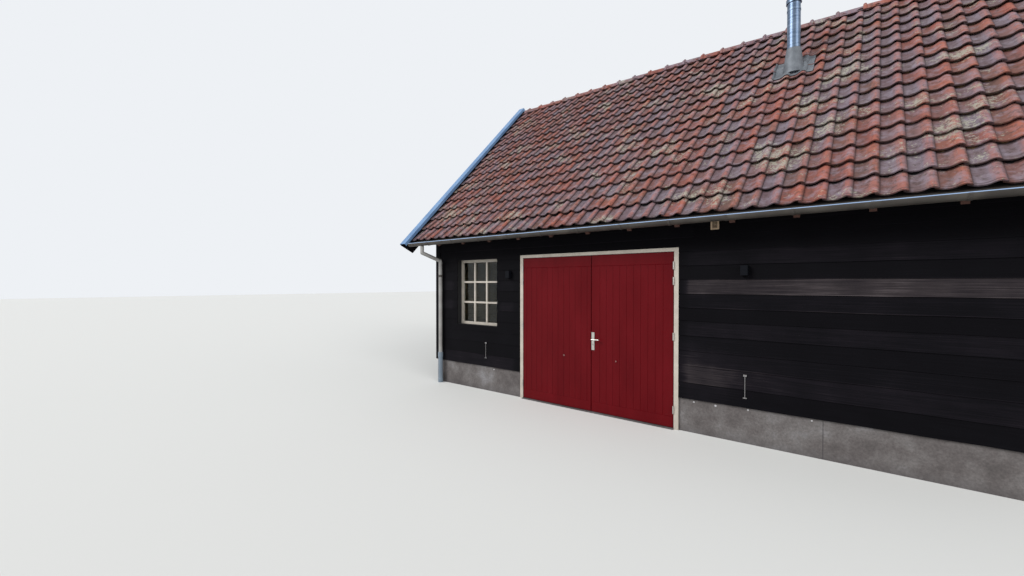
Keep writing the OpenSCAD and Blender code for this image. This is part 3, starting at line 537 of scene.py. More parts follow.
# %% [markdown]
# ## Paint on planed wood
# The doors are planed wood under gloss paint, a deep red that flows out almost level. The frames are cream
# paint, older and duller. One even colour would look like plastic, so noise lets the colour and the
# roughness drift between close values. The plain finishes below all want the same few nodes, which is why
# they share one function. The red mirrors less than fresh gloss would, because the pale studio would
# otherwise wash it out.


# %% Paint materials
def clouded(name, colours, cell_mm, roughness, metallic=0.0, bump_mm=0.0, stretch=(1, 1, 1), **sockets):
    """A material whose colour drifts between the given hex colours, in clouds of the given size."""
    material, tree, shader, place = new_material(name, roughness, metallic, **sockets)
    spread = add_node(tree, "ShaderNodeMapping", {"Vector": (place, "Object"), "Scale": stretch})
    noise = add_node(tree, "ShaderNodeTexNoise", {
        "Vector": (spread, "Vector"), "Scale": per_metre(cell_mm), "Detail": 5.0, "Roughness": 0.6})
    places = [0.34 + 0.32 * i / max(1, len(colours) - 1) for i in range(len(colours))]
    colour = add_node(tree, "ShaderNodeValToRGB", {"Fac": (noise, "Fac")}, stops=list(zip(places, colours)))
    tree.links.new(colour.outputs["Color"], shader.inputs["Base Color"])
    worn = add_node(tree, "ShaderNodeMapRange", {
        "Value": (noise, "Fac"), "To Min": roughness - 0.06, "To Max": roughness + 0.08})
    tree.links.new(worn.outputs["Result"], shader.inputs["Roughness"])
    if bump_mm:
        bump = add_node(tree, "ShaderNodeBump", {
            "Height": (noise, "Fac"), "Strength": 0.5, "Distance": bump_mm * MM})
        tree.links.new(bump.outputs["Normal"], shader.inputs["Normal"])
    return material


red_gloss = clouded("red_gloss_paint_on_wood", ["#53030B", "#58050D", "#5D0710"], 666.7, 0.24,
                    bump_mm=0.2, stretch=(2, 2, 0.6), Specular_IOR_Level=0.11)
cream_paint = clouded("cream_paint_on_wood", ["#A8A096", "#B2AA9F", "#BAB2A7"], 166.67, 0.45,
                      bump_mm=0.4, Specular_IOR_Level=0.3)
print("made", red_gloss.name, cream_paint.name)

# %% [markdown]
# ## Sheet metal and fittings
# Capping, gutter and pipes are zinc sheet. In the rain zinc grows a dull grey skin, which to the eye is
# hardly metal any more, so its metallic value is low and its colour tells what it is. The sky blue of the
# capping is a painted reflection of the sky, and the gutter's dark brown in part a painted reflection of
# the dark ground. Lead and the steel straps are dulled in the same way. The flue is brushed stainless
# steel, whose brush lines run round the pipe, and the door fittings are satin nickel. Brush lines, spangle
# and satin are finer than a millimetre, so they are drawn as small clouds that are coarse enough to show.

# %% Metal materials
# The gutter's dark grey-brown is weathered zinc with a painted reflection of the dark ground
zinc = clouded("weathered_zinc_and_painted_ground_reflection", ["#332E2A", "#3E3934", "#4B4640"], 250, 0.55,
               metallic=0.2, bump_mm=0.5)
pipe_zinc = clouded("zinc_downpipe", ["#8A8785", "#94928F", "#9E9D9B"], 200, 0.5, metallic=0.15)
# The blue of the capping is a painted reflection of the sky
capping_zinc_sky_reflection = clouded("zinc_capping_painted_sky_reflection", ["#55779F", "#6385AC", "#7092B8"], 500, 0.5,
                      metallic=0.2, bump_mm=0.5)
lead = clouded("lead_sheet", ["#54585E", "#666B71", "#757A80"], 166.67, 0.6, metallic=0.3, bump_mm=1.0)
flue_steel = clouded("brushed_stainless_flue", ["#4E5D71", "#5F6E82", "#6D7B8E"], 333.3, 0.36,
                     metallic=0.85, stretch=(1, 1, 14))
strap_steel = clouded("dulled_steel_strap", ["#3A3531", "#4A4541"], 16.667, 0.6, metallic=0.3)
galvanised = clouded("galvanised_steel", ["#6F6C6C", "#8A8888"], 16.667, 0.5, metallic=0.5)
nickel = clouded("satin_nickel", ["#B5B2AC", "#C8C5BF"], 25, 0.3, metallic=0.85)
print("made", len(bpy.data.materials), "materials so far")

# %% [markdown]
# ## Mortar, plastics and lamp parts
# The floor is concrete floated smooth, and old holes in the plinth are filled with a paler mortar. The foot
# of each downpipe is moulded grey plastic and the vent moulded cream plastic. The lamps are coated with
# black powder that melts to a fine orange-peel skin, here drawn coarser than it is, with frosted glass at
# either end.

# %% Mortar, plastic and lamp materials
floor_concrete = clouded("floated_concrete_floor", ["#6E6C68", "#7D7B76", "#8A8882"], 500, 0.8, bump_mm=1.0)
pale_mortar = clouded("pale_mortar", ["#A6A4A6", "#B8B6B8"], 33.333, 0.85)
pipe_grey = clouded("grey_moulded_pipe", ["#65717D", "#74808C"], 200, 0.5)
vent_plastic = clouded("cream_moulded_vent", ["#B59C80", "#C4AC90"], 50, 0.55)
# Dark wires, and the painted shade of the sheet that stands for the hole
mesh_and_hole_shade = clouded("dark_vent_mesh_and_painted_hole_shade", ["#2A1D16", "#3A2A20"], 11.111, 0.8)
black_coat = clouded("black_powder_coat", ["#08090E", "#0D0F15"], 12.5, 0.6,
                     bump_mm=0.3, Specular_IOR_Level=0.08)
lens_glass = clouded("frosted_lamp_glass", ["#5B6A85", "#71819D"], 33.333, 0.3)
dark_slot = clouded("keyhole_shadow", ["#141414", "#1C1C1C"], 33.333, 0.6)
print("made", len(bpy.data.materials), "materials so far")

# %% [markdown]
# ## The bead of the gutter
# The trough of a gutter is dark grey-brown, weathered zinc with a painted reflection of the dark ground,
# while the rolled bead at its rim is painted sky blue, a painted reflection of the sky. Everything above one
# height is the bead, so that height is enough to tell them apart, without a second piece.

# %% Painted sky reflection on the gutter bead
BEAD_H = 9 * MM
bead_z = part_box("gutters")[1].z - BEAD_H
tree = zinc.node_tree
shader = tree.nodes["Principled BSDF"]
place = add_node(tree, "ShaderNodeTexCoord")
spot = add_node(tree, "ShaderNodeSeparateXYZ", {"Vector": (place, "Object")})
on_bead = add_node(tree, "ShaderNodeMath", {0: (spot, "Z"), 1: bead_z}, operation="GREATER_THAN")
trough_reflection_colour = shader.inputs["Base Color"].links[0].from_node
# Painted reflection of the sky on the bead
bead_sky_reflection = add_node(tree, "ShaderNodeMix", {
    "Factor": (on_bead, "Value"), 6: (trough_reflection_colour, "Color"), 7: linear("#8AA3C4")}, data_type="RGBA")
tree.links.new(bead_sky_reflection.outputs[2], shader.inputs["Base Color"])
print("gutter bead above", round(bead_z, 3), "m")

# %% [markdown]
# ## Cast concrete
# The plinth was cast in lengths, so a thin dark joint shows where one pour meets the next. Sand and grit
# speckle it, and rain splash darkens its foot. The joint is drawn by asking how far a point lies from the
# nearest multiple of the panel length.


# %% Concrete with pour joints
# The grit is drawn coarser than real sand, to show at this distance
CONCRETE_CLOUD, CONCRETE_GRIT = 384.62, 26.316
FIRST_JOINT, PANEL, HALF_JOINT = 2.250, 4.15, 4 * MM
SPLASH_H = 120 * MM


def cast_concrete(name):
    """Concrete with clouds, grit, pour joints across X and a splashed foot."""
    material, tree, shader, place = new_material(name, 0.9, Specular_IOR_Level=0.3)
    cloud = add_node(tree, "ShaderNodeTexNoise", {
        "Vector": (place, "Object"), "Scale": per_metre(CONCRETE_CLOUD), "Detail": 9.0, "Roughness": 0.62})
    colour = add_node(tree, "ShaderNodeValToRGB", {"Fac": (cloud, "Fac")},
                      stops=[(0.30, "#474342"), (0.46, "#5A5554"), (0.58, "#676362"), (0.74, "#7E7C7E")])
    grit = add_node(tree, "ShaderNodeTexNoise", {
        "Vector": (place, "Object"), "Scale": per_metre(CONCRETE_GRIT), "Detail": 6.0, "Roughness": 0.75})
    specks = add_node(tree, "ShaderNodeMapRange", {
        "Value": (grit, "Fac"), "From Min": 0.3, "From Max": 0.7, "To Min": 0.72, "To Max": 1.28})
    colour = add_node(tree, "ShaderNodeVectorMath", {0: (colour, "Color"), "Scale": (specks, "Result")},
                      operation="SCALE")
    spot = add_node(tree, "ShaderNodeSeparateXYZ", {"Vector": (place, "Object")})
    along = add_node(tree, "ShaderNodeMath", {0: (spot, "X"), 1: FIRST_JOINT - PANEL / 2},
                     operation="SUBTRACT")
    along = add_node(tree, "ShaderNodeMath", {0: (along, "Value"), 1: PANEL}, operation="FLOORED_MODULO")
    joint = add_node(tree, "ShaderNodeMath", {0: (along, "Value"), 1: PANEL / 2, 2: HALF_JOINT},
                     operation="COMPARE")
    joint = add_node(tree, "ShaderNodeMath", {0: (joint, "Value"), 1: 0.7}, operation="MULTIPLY")
    jointed = add_node(tree, "ShaderNodeMix", {
        "Factor": (joint, "Value"), 6: (colour, "Vector"), 7: linear("#2C2A2D")}, data_type="RGBA")
    splash = add_node(tree, "ShaderNodeMapRange", {
        "Value": (spot, "Z"), "From Min": SPLASH_H, "From Max": 0.0, "To Max": 0.35})
    splashed = add_node(tree, "ShaderNodeMix", {
        "Factor": (splash, "Result"), 6: (jointed, 2), 7: linear("#3B393B")}, data_type="RGBA")
    tree.links.new(splashed.outputs[2], shader.inputs["Base Color"])
    bump = add_node(tree, "ShaderNodeBump", {
        "Height": (cloud, "Fac"), "Strength": 0.5, "Distance": 2.0 * MM})
    tree.links.new(bump.outputs["Normal"], shader.inputs["Normal"])
    return material


concrete = cast_concrete("cast_concrete")
print("made", concrete.name)

# %% [markdown]
# ## Window glass
# The panes are clear float glass with its slight green, which drifts a little over a pane. It lets nearly
# all light through, so the dark inside of the building gives the window its colour. Its IOR is below the
# 1.5 of real glass, because the studio that it mirrors is paler than what a real window faces.

# %% Window glass material
GLASS_DRIFT = 333.33
window_glass_material, tree, shader, place = new_material(
    "float_glass", 0.0, Transmission_Weight=1.0, IOR=1.3)
drift = add_node(tree, "ShaderNodeTexNoise", {
    "Vector": (place, "Object"), "Scale": per_metre(GLASS_DRIFT), "Detail": 1.0})
tint = add_node(tree, "ShaderNodeValToRGB", {"Fac": (drift, "Fac")},
                stops=[(0.3, "#D3DBD6"), (0.7, "#E0E8E3")])
tree.links.new(tint.outputs["Color"], shader.inputs["Base Color"])
print("made", len(bpy.data.materials), "materials")

# %% [markdown]
# ## Finish the building parts
# Most of the building's parts already have the right shape. They keep their mesh and only get the
# material that the real part is made of.


# %% Give each building part its material
def paint(obj, material):
    """Gives a piece its one material."""
    obj.data.materials.clear()
    obj.data.materials.append(material)


FINISH = {
    "floor_slab": floor_concrete, "front_plinth": concrete, "back_plinth": concrete,
    "gable_plinths": concrete, "door_threshold": concrete,
    "front_wall_left": wall_timber_x, "front_wall_over_door": wall_timber_x,
    "front_wall_right": wall_timber_x, "back_wall": wall_timber_x,
    "left_gable_wall": wall_timber_y, "right_gable_wall": wall_timber_y,
    "wall_plates": wall_timber_x, "eaves_boards": wall_timber_x,
    "ridge_board": beam_timber_x, "rafters": rafter_timber,
    "collar_ties": beam_timber_y, "tie_beams": beam_timber_y,
    "front_roof_boarding": roof_boards, "back_roof_boarding": roof_boards,
    "front_roof_tiles": clay, "back_roof_tiles": clay, "ridge_tiles": clay,
    "barge_boards": tarred_verge, "verge_caps": capping_zinc_sky_reflection,
    "gutters": zinc, "gutter_brackets": strap_steel,
    "downpipes": pipe_zinc, "downpipe_feet": pipe_grey,
    "flue_pipe": flue_steel, "flue_cowl": flue_steel, "flue_flashing": lead,
    "door_posts": cream_paint, "door_head": cream_paint,
    "window_frames": cream_paint, "window_glass": window_glass_material,
    "left_door": red_gloss, "right_door": red_gloss, "hinge_pins": nickel,
    "left_door_fittings": nickel, "right_door_fittings": nickel,
    "handle_plates": nickel, "door_lever": nickel, "stay_hooks": galvanised,
    "wall_lamps": black_coat, "eaves_vent": vent_plastic,
}
for name, material in FINISH.items():
    paint(nodes[name], material)
print("finished", len(FINISH), "building parts; without one:", sorted(set(nodes) - set(FINISH)))

# %% [markdown]
# A new piece needs two more things beside its material: the body that it moves with, and the names of
# the plain parts that it stands in for.


# %% Place a finished piece
def place_piece(obj, material, body="barn", instead_of=()):
    """Gives a piece its material, the body it rides on and the parts it stands for."""
    paint(obj, material)
    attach(obj, body)
    if instead_of:
        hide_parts(*instead_of)
    triangles = sum(len(p.vertices) - 2 for p in obj.data.polygons)
    print(f"{obj.name}: {triangles} triangles on {body}")
    return obj


print("ready to place pieces")

# %% [markdown]
# ## One pantile
# A pantile is a shallow S: a round roll on one side and a wide, almost flat pan on the other. The roll of
# one tile covers the edge of the next. The S could be a curve with a bevel, but here it starts as a flat
# grid, whose rows of points are lifted one by one, because the same few numbers then also say where the
# painted shade of the seams lies and how high the roof is under the lead. The sheet is then extruded to its
# thickness.


# %% Model one pantile
TILE_THICK = 18 * MM
HEAD_LAP = 55 * MM
ROLL_H = 41 * MM
TIP_BEVEL = 4 * MM
# Places across the tile and heights over the pan, in millimetres. The first two points hide under the
# neighbour's roll; the last is the free edge of the roll.
TILE_SECTION = [(-34, 20), (-12, 12), (8, 6), (32, 1), (60, 0), (88, 4), (110, 13), (130, 26),
                (150, 37), (168, 41), (185, 37), (198, 29), (209, 19)]
# Rows of points that are done wait this far aside, so that they aren't picked again
ASIDE = 2.0


def model_pantile():
    """Local X across the roof, Y up the slope from the tip at Y = 0, Z out of the roof."""
    clear_selection()
    bpy.ops.mesh.primitive_grid_add(x_subdivisions=len(TILE_SECTION) - 1, y_subdivisions=1, size=1)
    tile = bpy.context.object
    columns = sorted({round(v.co.x, 5) for v in tile.data.vertices})
    edit(tile, "VERT")
    for column, (across, height) in zip(columns, TILE_SECTION):
        bpy.ops.mesh.select_all(action="DESELECT")
        select_where(tile, "verts", lambda v: abs(v.co.x - column) < MM)
        bpy.ops.transform.translate(value=(across * MM + ASIDE - column, 0, height * MM))
    bpy.ops.mesh.select_all(action="SELECT")
    bpy.ops.transform.translate(value=(-ASIDE, 0.5, 0))
    bpy.ops.transform.resize(value=(1, gauge + HEAD_LAP, 1), center_override=(0, 0, 0))
    bpy.ops.mesh.extrude_region_move(TRANSFORM_OT_translate={"value": (0, 0, -TILE_THICK)})
    bpy.ops.mesh.select_all(action="SELECT")
    bpy.ops.mesh.normals_make_consistent(inside=False)

    def on_upper_tip(edge):
        return all(v.co.y < NEAR and any(abs(v.co.x - across * MM) < NEAR and abs(v.co.z - height * MM) < NEAR
                                         for across, height in TILE_SECTION) for v in edge.verts)

    # The tip is rounded on top
    bpy.ops.mesh.select_all(action="DESELECT")
    bpy.ops.mesh.select_mode(type="EDGE")
    select_where(tile, "edges", on_upper_tip)
    bpy.ops.mesh.bevel(offset=TIP_BEVEL, segments=1)
    leave_edit()
    tile.name = tile.data.name = "pantile"
    return tile


pantile = model_pantile()
print("one pantile has", len(pantile.data.polygons), "faces")

# %% [markdown]
# ## A slope of pantiles
# Two array modifiers repeat the tile along the eaves and up the slope. A hand-laid roof is never that
# exact, so every tile is then nudged and tilted a little and gets its own tone. An operator for each of
# 1,400 tiles would take minutes, so their points are moved as one table. At last the flat field is leaned
# onto the slope.


# %% Lay a flat field of tiles
TIP_DEPTH = 36 * MM
COURSE_RISE = 44 * MM
# The top course is cut short under the ridge tiles, this far from the ridge
TOP_CUT = 125 * MM
# How much painted shade lies at each place of the section, from 0 to 1: at the seams where one tile laps the
# next
TILE_SEAM_SHADE = (1, 0.9, 0.4, 0, 0, 0, 0, 0, 0, 0, 0, 0.2, 0.75)
# How far a tile strays: its turn in radians, its tilt as a slope, its lift, and sideways and down the roof
STRAY_TURN, STRAY_TILT, STRAY_LIFT = 0.005, 0.004, 1.2 * MM
STRAY_ACROSS, STRAY_DOWN = 1.2 * MM, 2.5 * MM


def nudge_tile(local):
    """Tilts one tile as its course lies, and lets it stray; returns how far it is shifted."""
    turn = rng.gauss(0, STRAY_TURN)
    lift = rng.gauss(0, STRAY_LIFT)
    local[:, 2] += -local[:, 1] * (COURSE_RISE / gauge + rng.gauss(0, STRAY_TILT)) + lift
    local[:, 0] += local[:, 1] * turn
    return np.array((rng.gauss(0, STRAY_ACROSS), rng.gauss(0, STRAY_DOWN), 0), np.float32)


def lay_field(name):
    """All tiles of one slope, with X across the roof, Y up the slope from the ridge line and Z outwards."""
    field = copy_of(pantile, name, Matrix.Identity(4))
    points = len(field.data.vertices)
    for count, step in ((COLUMNS, (cover_w, 0, 0)), (COURSES, (0, gauge, 0))):
        finish_with(field, "ARRAY", count=count, use_relative_offset=False, use_constant_offset=True,
                    constant_offset_displace=step)
    co = np.zeros(len(field.data.vertices) * 3, np.float32)
    field.data.vertices.foreach_get("co", co)
    co = co.reshape(COURSES, COLUMNS, points, 3)
    tone = np.zeros((COURSES, COLUMNS, points), np.float32)
    roll = np.clip(co[..., 2] / ROLL_H, 0, 1).astype(np.float32)
    # Painted shade along the seams, where one tile's roll laps the next tile's edge
    seam_shade = np.interp(co[0, 0, :, 0], np.array([p[0] for p in TILE_SECTION]) * MM, TILE_SEAM_SHADE)
    seam_shade = np.tile(seam_shade.astype(np.float32), (COURSES, COLUMNS, 1))
    for row in range(COURSES):
        for column in range(COLUMNS):
            corner = np.array([column * cover_w, row * gauge, 0], np.float32)
            local = co[row, column] - corner
            if row == COURSES - 1:
                local[:, 1] *= (TOP_TIP - TOP_CUT) / (gauge + HEAD_LAP)
            shift = nudge_tile(local)
            co[row, column] = local + corner + shift
            tone[row, column] = rng.random()
    # No tile passes the verge, and the tips of the lowest course hang over the gutter
    co[..., 0] = np.clip(co[..., 0] - half_tiled, -half_tiled, half_tiled)
    co[..., 1] -= eaves_s - EAVES_LAP
    co[0, ..., 1] -= EAVES_LAP
    co[..., 2] -= TIP_DEPTH + ROLL_H
    field.data.vertices.foreach_set("co", co.ravel())
    for attribute, values in (("tone", tone), ("roll", roll), ("seam_shade", seam_shade)):
        layer = field.data.attributes.new(attribute, "FLOAT", "POINT")
        layer.data.foreach_set("value", values.ravel())
    return field, points


print("tiles tilt", round(math.degrees(math.atan(COURSE_RISE / gauge)), 1), "deg to the slope")

# %% [markdown]
# The flue comes through the front slope. A tiler leaves out the tiles in its way, and so does this slope.
# Both slopes are the same field, leaned to one side or the other.


# %% Lay both slopes
FLUE_ROOM = 90 * MM


def lean_on_slope(obj, back=False):
    """Puts a flat field (Y up the slope, Z outwards, ridge line at the origin) on its slope."""
    obj.rotation_mode = "XYZ"
    obj.rotation_euler = (pitch, 0, math.pi if back else 0)
    obj.location = (0, 0, ridge_z)
    return settle(obj)


def lay_slope(name, back, left_out=()):
    """One slope of pantiles; left_out lists the (row, column) of tiles that are missing."""
    field, points = lay_field(name)
    if left_out:
        edit(field, "VERT")
        gone = {row * COLUMNS + column for row, column in left_out}
        select_where(field, "verts", lambda v: v.index // points in gone)
        bpy.ops.mesh.delete(type="VERT")
        leave_edit()
    return lean_on_slope(smooth(field, 40), back)


flue_low, flue_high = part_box("flue_pipe")
flue_x, flue_y = (flue_low.x + flue_high.x) / 2, -(flue_low.y + flue_high.y) / 2
flue_s = flue_y / math.cos(pitch) + TILE_SUNK
flue_row = int((eaves_s - EAVES_LAP - flue_s) / gauge)
flue_columns = sorted({int((flue_x + side * FLUE_ROOM + half_tiled) / cover_w) for side in (-1, 1)})
place_piece(lay_slope("front_pantiles", False, [(flue_row, column) for column in flue_columns]), clay,
            instead_of=["front_roof_tiles"])
place_piece(lay_slope("back_pantiles", True), clay, instead_of=["back_roof_tiles"])
remove(pantile)

# %% [markdown]
# ## Ridge tiles
# The ridge is closed with half-round tiles. One tile is the upper half of a tube that tapers a little, so
# that each tile slides over the narrow end of the next. The wide end has a raised collar with a knob, which
# gives the ridge its beaded outline. A cone without its lower half is the quickest way to such a shell, and
# a solidify modifier gives it its thickness.


# %% Model one ridge tile
RIDGE_PITCH = 352 * MM
RIDGE_LAP = 45 * MM
RIDGE_R = 102 * MM
WIDE_R, NARROW_R = RIDGE_R + 6 * MM, RIDGE_R - 8 * MM
RIDGE_T = 14 * MM
COLLAR_R, COLLAR_L = RIDGE_R + 16 * MM, 46 * MM
KNOB_R = 27 * MM
CLAY_EASED = 3 * MM


def half_tube(name, radius_wide, radius_narrow, length):
    """Upper half of a tapering tube along X, the wide end at X = 0."""
    clear_selection()
    bpy.ops.mesh.primitive_cone_add(vertices=24, radius1=radius_wide, radius2=radius_narrow, depth=length,
                                    end_fill_type="NOTHING", rotation=(0, math.pi / 2, 0),
                                    location=(length / 2, 0, 0))
    tube = settle(bpy.context.object)
    tube.name = name
    edit(tube, "FACE")
    select_where(tube, "faces", lambda f: f.calc_center_median().z < -NEAR)
    bpy.ops.mesh.delete(type="FACE")
    leave_edit()
    return finish_with(tube, "SOLIDIFY", thickness=RIDGE_T, offset=-1)


shell = half_tube("shell", WIDE_R, NARROW_R, RIDGE_PITCH + RIDGE_LAP)
plain_shell = copy_of(shell, "plain_shell", Matrix.Identity(4))
collar = half_tube("collar", COLLAR_R, COLLAR_R - MM, COLLAR_L)
clear_selection()
bpy.ops.mesh.primitive_uv_sphere_add(segments=10, ring_count=6, radius=KNOB_R,
                                     location=(COLLAR_L / 2, 0, COLLAR_R - MM))
knob = settle(bpy.context.object)
ridge_tile = join("ridge_tile", [shell, collar, knob])
finish_with(ridge_tile, "BEVEL", width=CLAY_EASED, segments=1, limit_method="ANGLE")
print("one ridge tile has", len(ridge_tile.data.polygons), "faces")

# %% [markdown]
# The row starts with a cut tile against the verge, so the first knob stands a little inside it. From there
# the tiles follow at their pitch, each turned and shifted by a hair.

# %% Line the ridge
# The cut tile shows this much, and runs on under the verge and under the next tile
CUT_TILE, CUT_UNDER_VERGE, CUT_UNDER_TILE = 62 * MM, 20 * MM, 40 * MM
# No tile starts closer to the far end than this
LAST_START = 60 * MM
# How far a ridge tile is turned, in radians, and shifted
RIDGE_TURN, RIDGE_SHIFT = 0.006, 2 * MM
# The ridge tiles take one roll value, which gives them a share of the rolls' painted highlight
CUT_TONE, RIDGE_HIGHLIGHT = 0.4, 0.55

ridge_low, ridge_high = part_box("ridge_tiles")
ridge_axis_z = ridge_high.z - COLLAR_R
shorter = (CUT_UNDER_VERGE + CUT_TILE + CUT_UNDER_TILE) / (RIDGE_PITCH + RIDGE_LAP)
place = Matrix.Translation((ridge_low.x - CUT_UNDER_VERGE, 0, ridge_axis_z))
place = place @ Matrix.Diagonal((shorter, 1, 1, 1))
ridge_row = [set_tone(copy_of(plain_shell, "cut_ridge_tile", place), CUT_TONE)]
tile_x = ridge_low.x + CUT_TILE
while tile_x < ridge_high.x - LAST_START:
    turn = Matrix.Rotation(rng.gauss(0, RIDGE_TURN), 4, "Z")
    place = Matrix.Translation((tile_x, rng.gauss(0, RIDGE_SHIFT), ridge_axis_z + rng.gauss(0, RIDGE_SHIFT)))
    ridge_row.append(set_tone(copy_of(ridge_tile, "ridge", place @ turn), rng.random()))
    tile_x += RIDGE_PITCH
remove(plain_shell)
remove(ridge_tile)
ridge_row = smooth(set_tone(join("ridge_pantiles", ridge_row), RIDGE_HIGHLIGHT, "roll"), 40)
place_piece(ridge_row, ridge_clay, instead_of=["ridge_tiles"])

# %% [markdown]
# ## Apron at the eaves
# A folded sheet hangs from the roof boarding over the inner rim of the gutter. It leads drops that run back
# under the tiles into the gutter, and closes the slit that would let wind and birds in. It is a thin box
# whose upper points are pushed in under the tiles, and a mirror modifier makes the one at the back.

# %% Hang the aprons
APRON_T = 2 * MM
APRON_SHORT = 20 * MM
APRON_OUT, APRON_LEAN = 100 * MM, 110 * MM
APRON_DIP, APRON_UP = 13 * MM, 12 * MM

board_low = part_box("front_roof_boarding")[0]
apron_foot = board_low.y - APRON_OUT
apron = add_box("eaves_aprons", (-half_tiled + APRON_SHORT, apron_foot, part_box("gutters")[1].z - APRON_DIP),
                (half_tiled - APRON_SHORT, apron_foot + APRON_T, board_low.z + APRON_UP))
edit(apron, "VERT")
select_where(apron, "verts", lambda v: v.co.z > board_low.z)
bpy.ops.transform.translate(value=(0, APRON_LEAN, 0))
leave_edit()
finish_with(apron, "MIRROR", use_axis=(False, True, False))
turn_outwards(apron)
place_piece(apron, strap_steel)

# %% [markdown]
# ## Lead slate round the flue
# A plumber dresses a soft lead sheet over the tiles and welds a cone on it. Lead is soft enough to follow
# the tiles, so the sheet is a grid whose points are dropped onto them: the section that made the pantile
# says how high the roof is at each point. The mean of a few heights up and down the slope rounds its folds.

# %% Drape the lead
SLATE_LONG = 560 * MM
SLATE_T = 3 * MM
SLATE_OVER = 9 * MM
FOLDS = [d * MM for d in (-24, -12, 0, 12, 24)]

sheet_low, sheet_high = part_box("flue_flashing")
section_x, section_h = np.array(TILE_SECTION).T * MM


def tile_top(x, up):
    """Height of the tiles over the slope plane, 'up' metres above the tile tips at the eaves."""
    across = np.mod(x + half_tiled, cover_w)
    height = np.maximum(np.interp(across, section_x, section_h),
                        np.interp(across - cover_w, section_x, section_h, left=-1))
    return height - np.mod(up - EAVES_LAP, gauge) * COURSE_RISE / gauge


clear_selection()
bpy.ops.mesh.primitive_grid_add(x_subdivisions=60, y_subdivisions=36, size=1)
sheet = bpy.context.object
sheet.scale = (sheet_high.x - sheet_low.x, SLATE_LONG, 1)
sheet.location = ((sheet_low.x + sheet_high.x) / 2, eaves_s - flue_s, 0)
settle(sheet)
co = np.zeros(len(sheet.data.vertices) * 3)
sheet.data.vertices.foreach_get("co", co)
co = co.reshape(-1, 3)
rise = sum(tile_top(co[:, 0], co[:, 1] + fold) for fold in FOLDS) / len(FOLDS)
co[:, 2] = rise + SLATE_OVER - TIP_DEPTH - ROLL_H
co[:, 1] -= eaves_s
sheet.data.vertices.foreach_set("co", co.ravel())
finish_with(sheet, "SOLIDIFY", thickness=SLATE_T, offset=1)
lean_on_slope(sheet)
print("lead sheet", round(sheet_high.x - sheet_low.x, 2), "x", SLATE_LONG, "m")

# %% [markdown]
# The cone stands upright on the leaning sheet, and a collar round its top holds it to the flue.

# %% Weld the cone on
CONE_H = 380 * MM
CONE_WIDE, CONE_NARROW = 150 * MM, 95 * MM
BAND_H, BAND_R = 30 * MM, 97 * MM

cone_top = sheet_high.z
clear_selection()
bpy.ops.mesh.primitive_cone_add(vertices=48, radius1=CONE_WIDE, radius2=CONE_NARROW, depth=CONE_H,
                                location=(flue_x, -flue_y, cone_top - CONE_H / 2))
cone = settle(bpy.context.object)
band = add_round("band", BAND_R, (flue_x, -flue_y, cone_top - BAND_H), (flue_x, -flue_y, cone_top), 48)
lead_slate = smooth(join("lead_slate", [sheet, cone, band]), 50)
place_piece(lead_slate, lead, instead_of=["flue_flashing"])

# %% [markdown]
# ## Weatherboards
# The walls are clad with broad boards that lap like the planks of a boat: each board is thin at its top and
# thick at its foot, where it drips clear of the next. One board is shaped as a unit of length one, then
# copied and stretched for every course. It has enough points along its foot for a slightly wavy edge, and
# a row of points just above it, so that only the edge is lightened, for worn tar and a painted highlight on
# the lip.


# %% Model one board
LIP = 14 * MM
TOP_THICK = 4 * MM
BOARD_PARTS = 16
# The edge that is lightened, for worn tar and a painted highlight, is this share of a board's height
EDGE_WEAR_AND_HIGHLIGHT = 0.07


def model_board():
    """A unit board: X 0 to 1 along the wall, Y 0 at the wall and -1 at the lip, Z 0 to 1 upwards."""
    board = add_box("board", (0, -1, 0), (1, 0, 1))
    edit(board, "EDGE")
    select_where(board, "edges", lambda e: abs(e.verts[0].co.x - e.verts[1].co.x) > 0.5)
    bpy.ops.mesh.subdivide(number_cuts=BOARD_PARTS - 1)
    bpy.ops.mesh.select_all(action="DESELECT")
    select_where(board, "verts", lambda v: v.co.y < -0.5 and v.co.z > 0.5)
    bpy.ops.transform.translate(value=(0, 1 - TOP_THICK / LIP, 0))
    bpy.ops.mesh.select_all(action="SELECT")
    bpy.ops.mesh.bisect(plane_co=(0, 0, EDGE_WEAR_AND_HIGHLIGHT), plane_no=(0, 0, 1))
    leave_edit()
    return board


unit_board = model_board()
print("one board has", len(unit_board.data.vertices), "points")

# %% [markdown]
# A board is laid between two heights. Sawn boards are never straight: two slow waves bend its foot by a
# millimetre or so, and the foot gets a lighter tone of its own, for tar worn off and a painted highlight on
# the lip.


# %% Lay one board
BOARD_LAP = 5 * MM
# The waves of a board's foot: the least and greatest length of each, and its height
WAVES = ((0.9, 1.6, 1.6 * MM), (0.3, 0.5, 0.9 * MM))
# A full turn in radians, once for the length of a wave and once for where it can start
WAVE_TURN, WAVE_START = 6.28, 6.3
# The most that the foot of a board is lightened, for worn tar and a painted highlight
FOOT_WEAR_AND_HIGHLIGHT = 0.35


def lay_board(x0, x1, z0, z1, tone):
    """A board of one tone between two places along the wall and two heights."""
    board = copy_of(unit_board, "board", Matrix.Translation((x0, 0, z0))
                    @ Matrix.Diagonal((x1 - x0, LIP, z1 - z0 + BOARD_LAP, 1)))
    waves = [(rng.uniform(least, most), rng.uniform(0, WAVE_START), high) for least, most, high in WAVES]
    set_tone(board, tone)
    # The foot is lightened: worn tar and a painted highlight on the lip
    worn = rng.random() ** 2 * FOOT_WEAR_AND_HIGHLIGHT
    for v, value in zip(board.data.vertices, board.data.attributes["tone"].data):
        if v.co.z < z0 + MM:
            v.co.z += sum(high * math.sin(v.co.x * WAVE_TURN / long + start) for long, start, high in waves)
            value.value += worn
    return board


print("boards lap by", BOARD_LAP, "m")

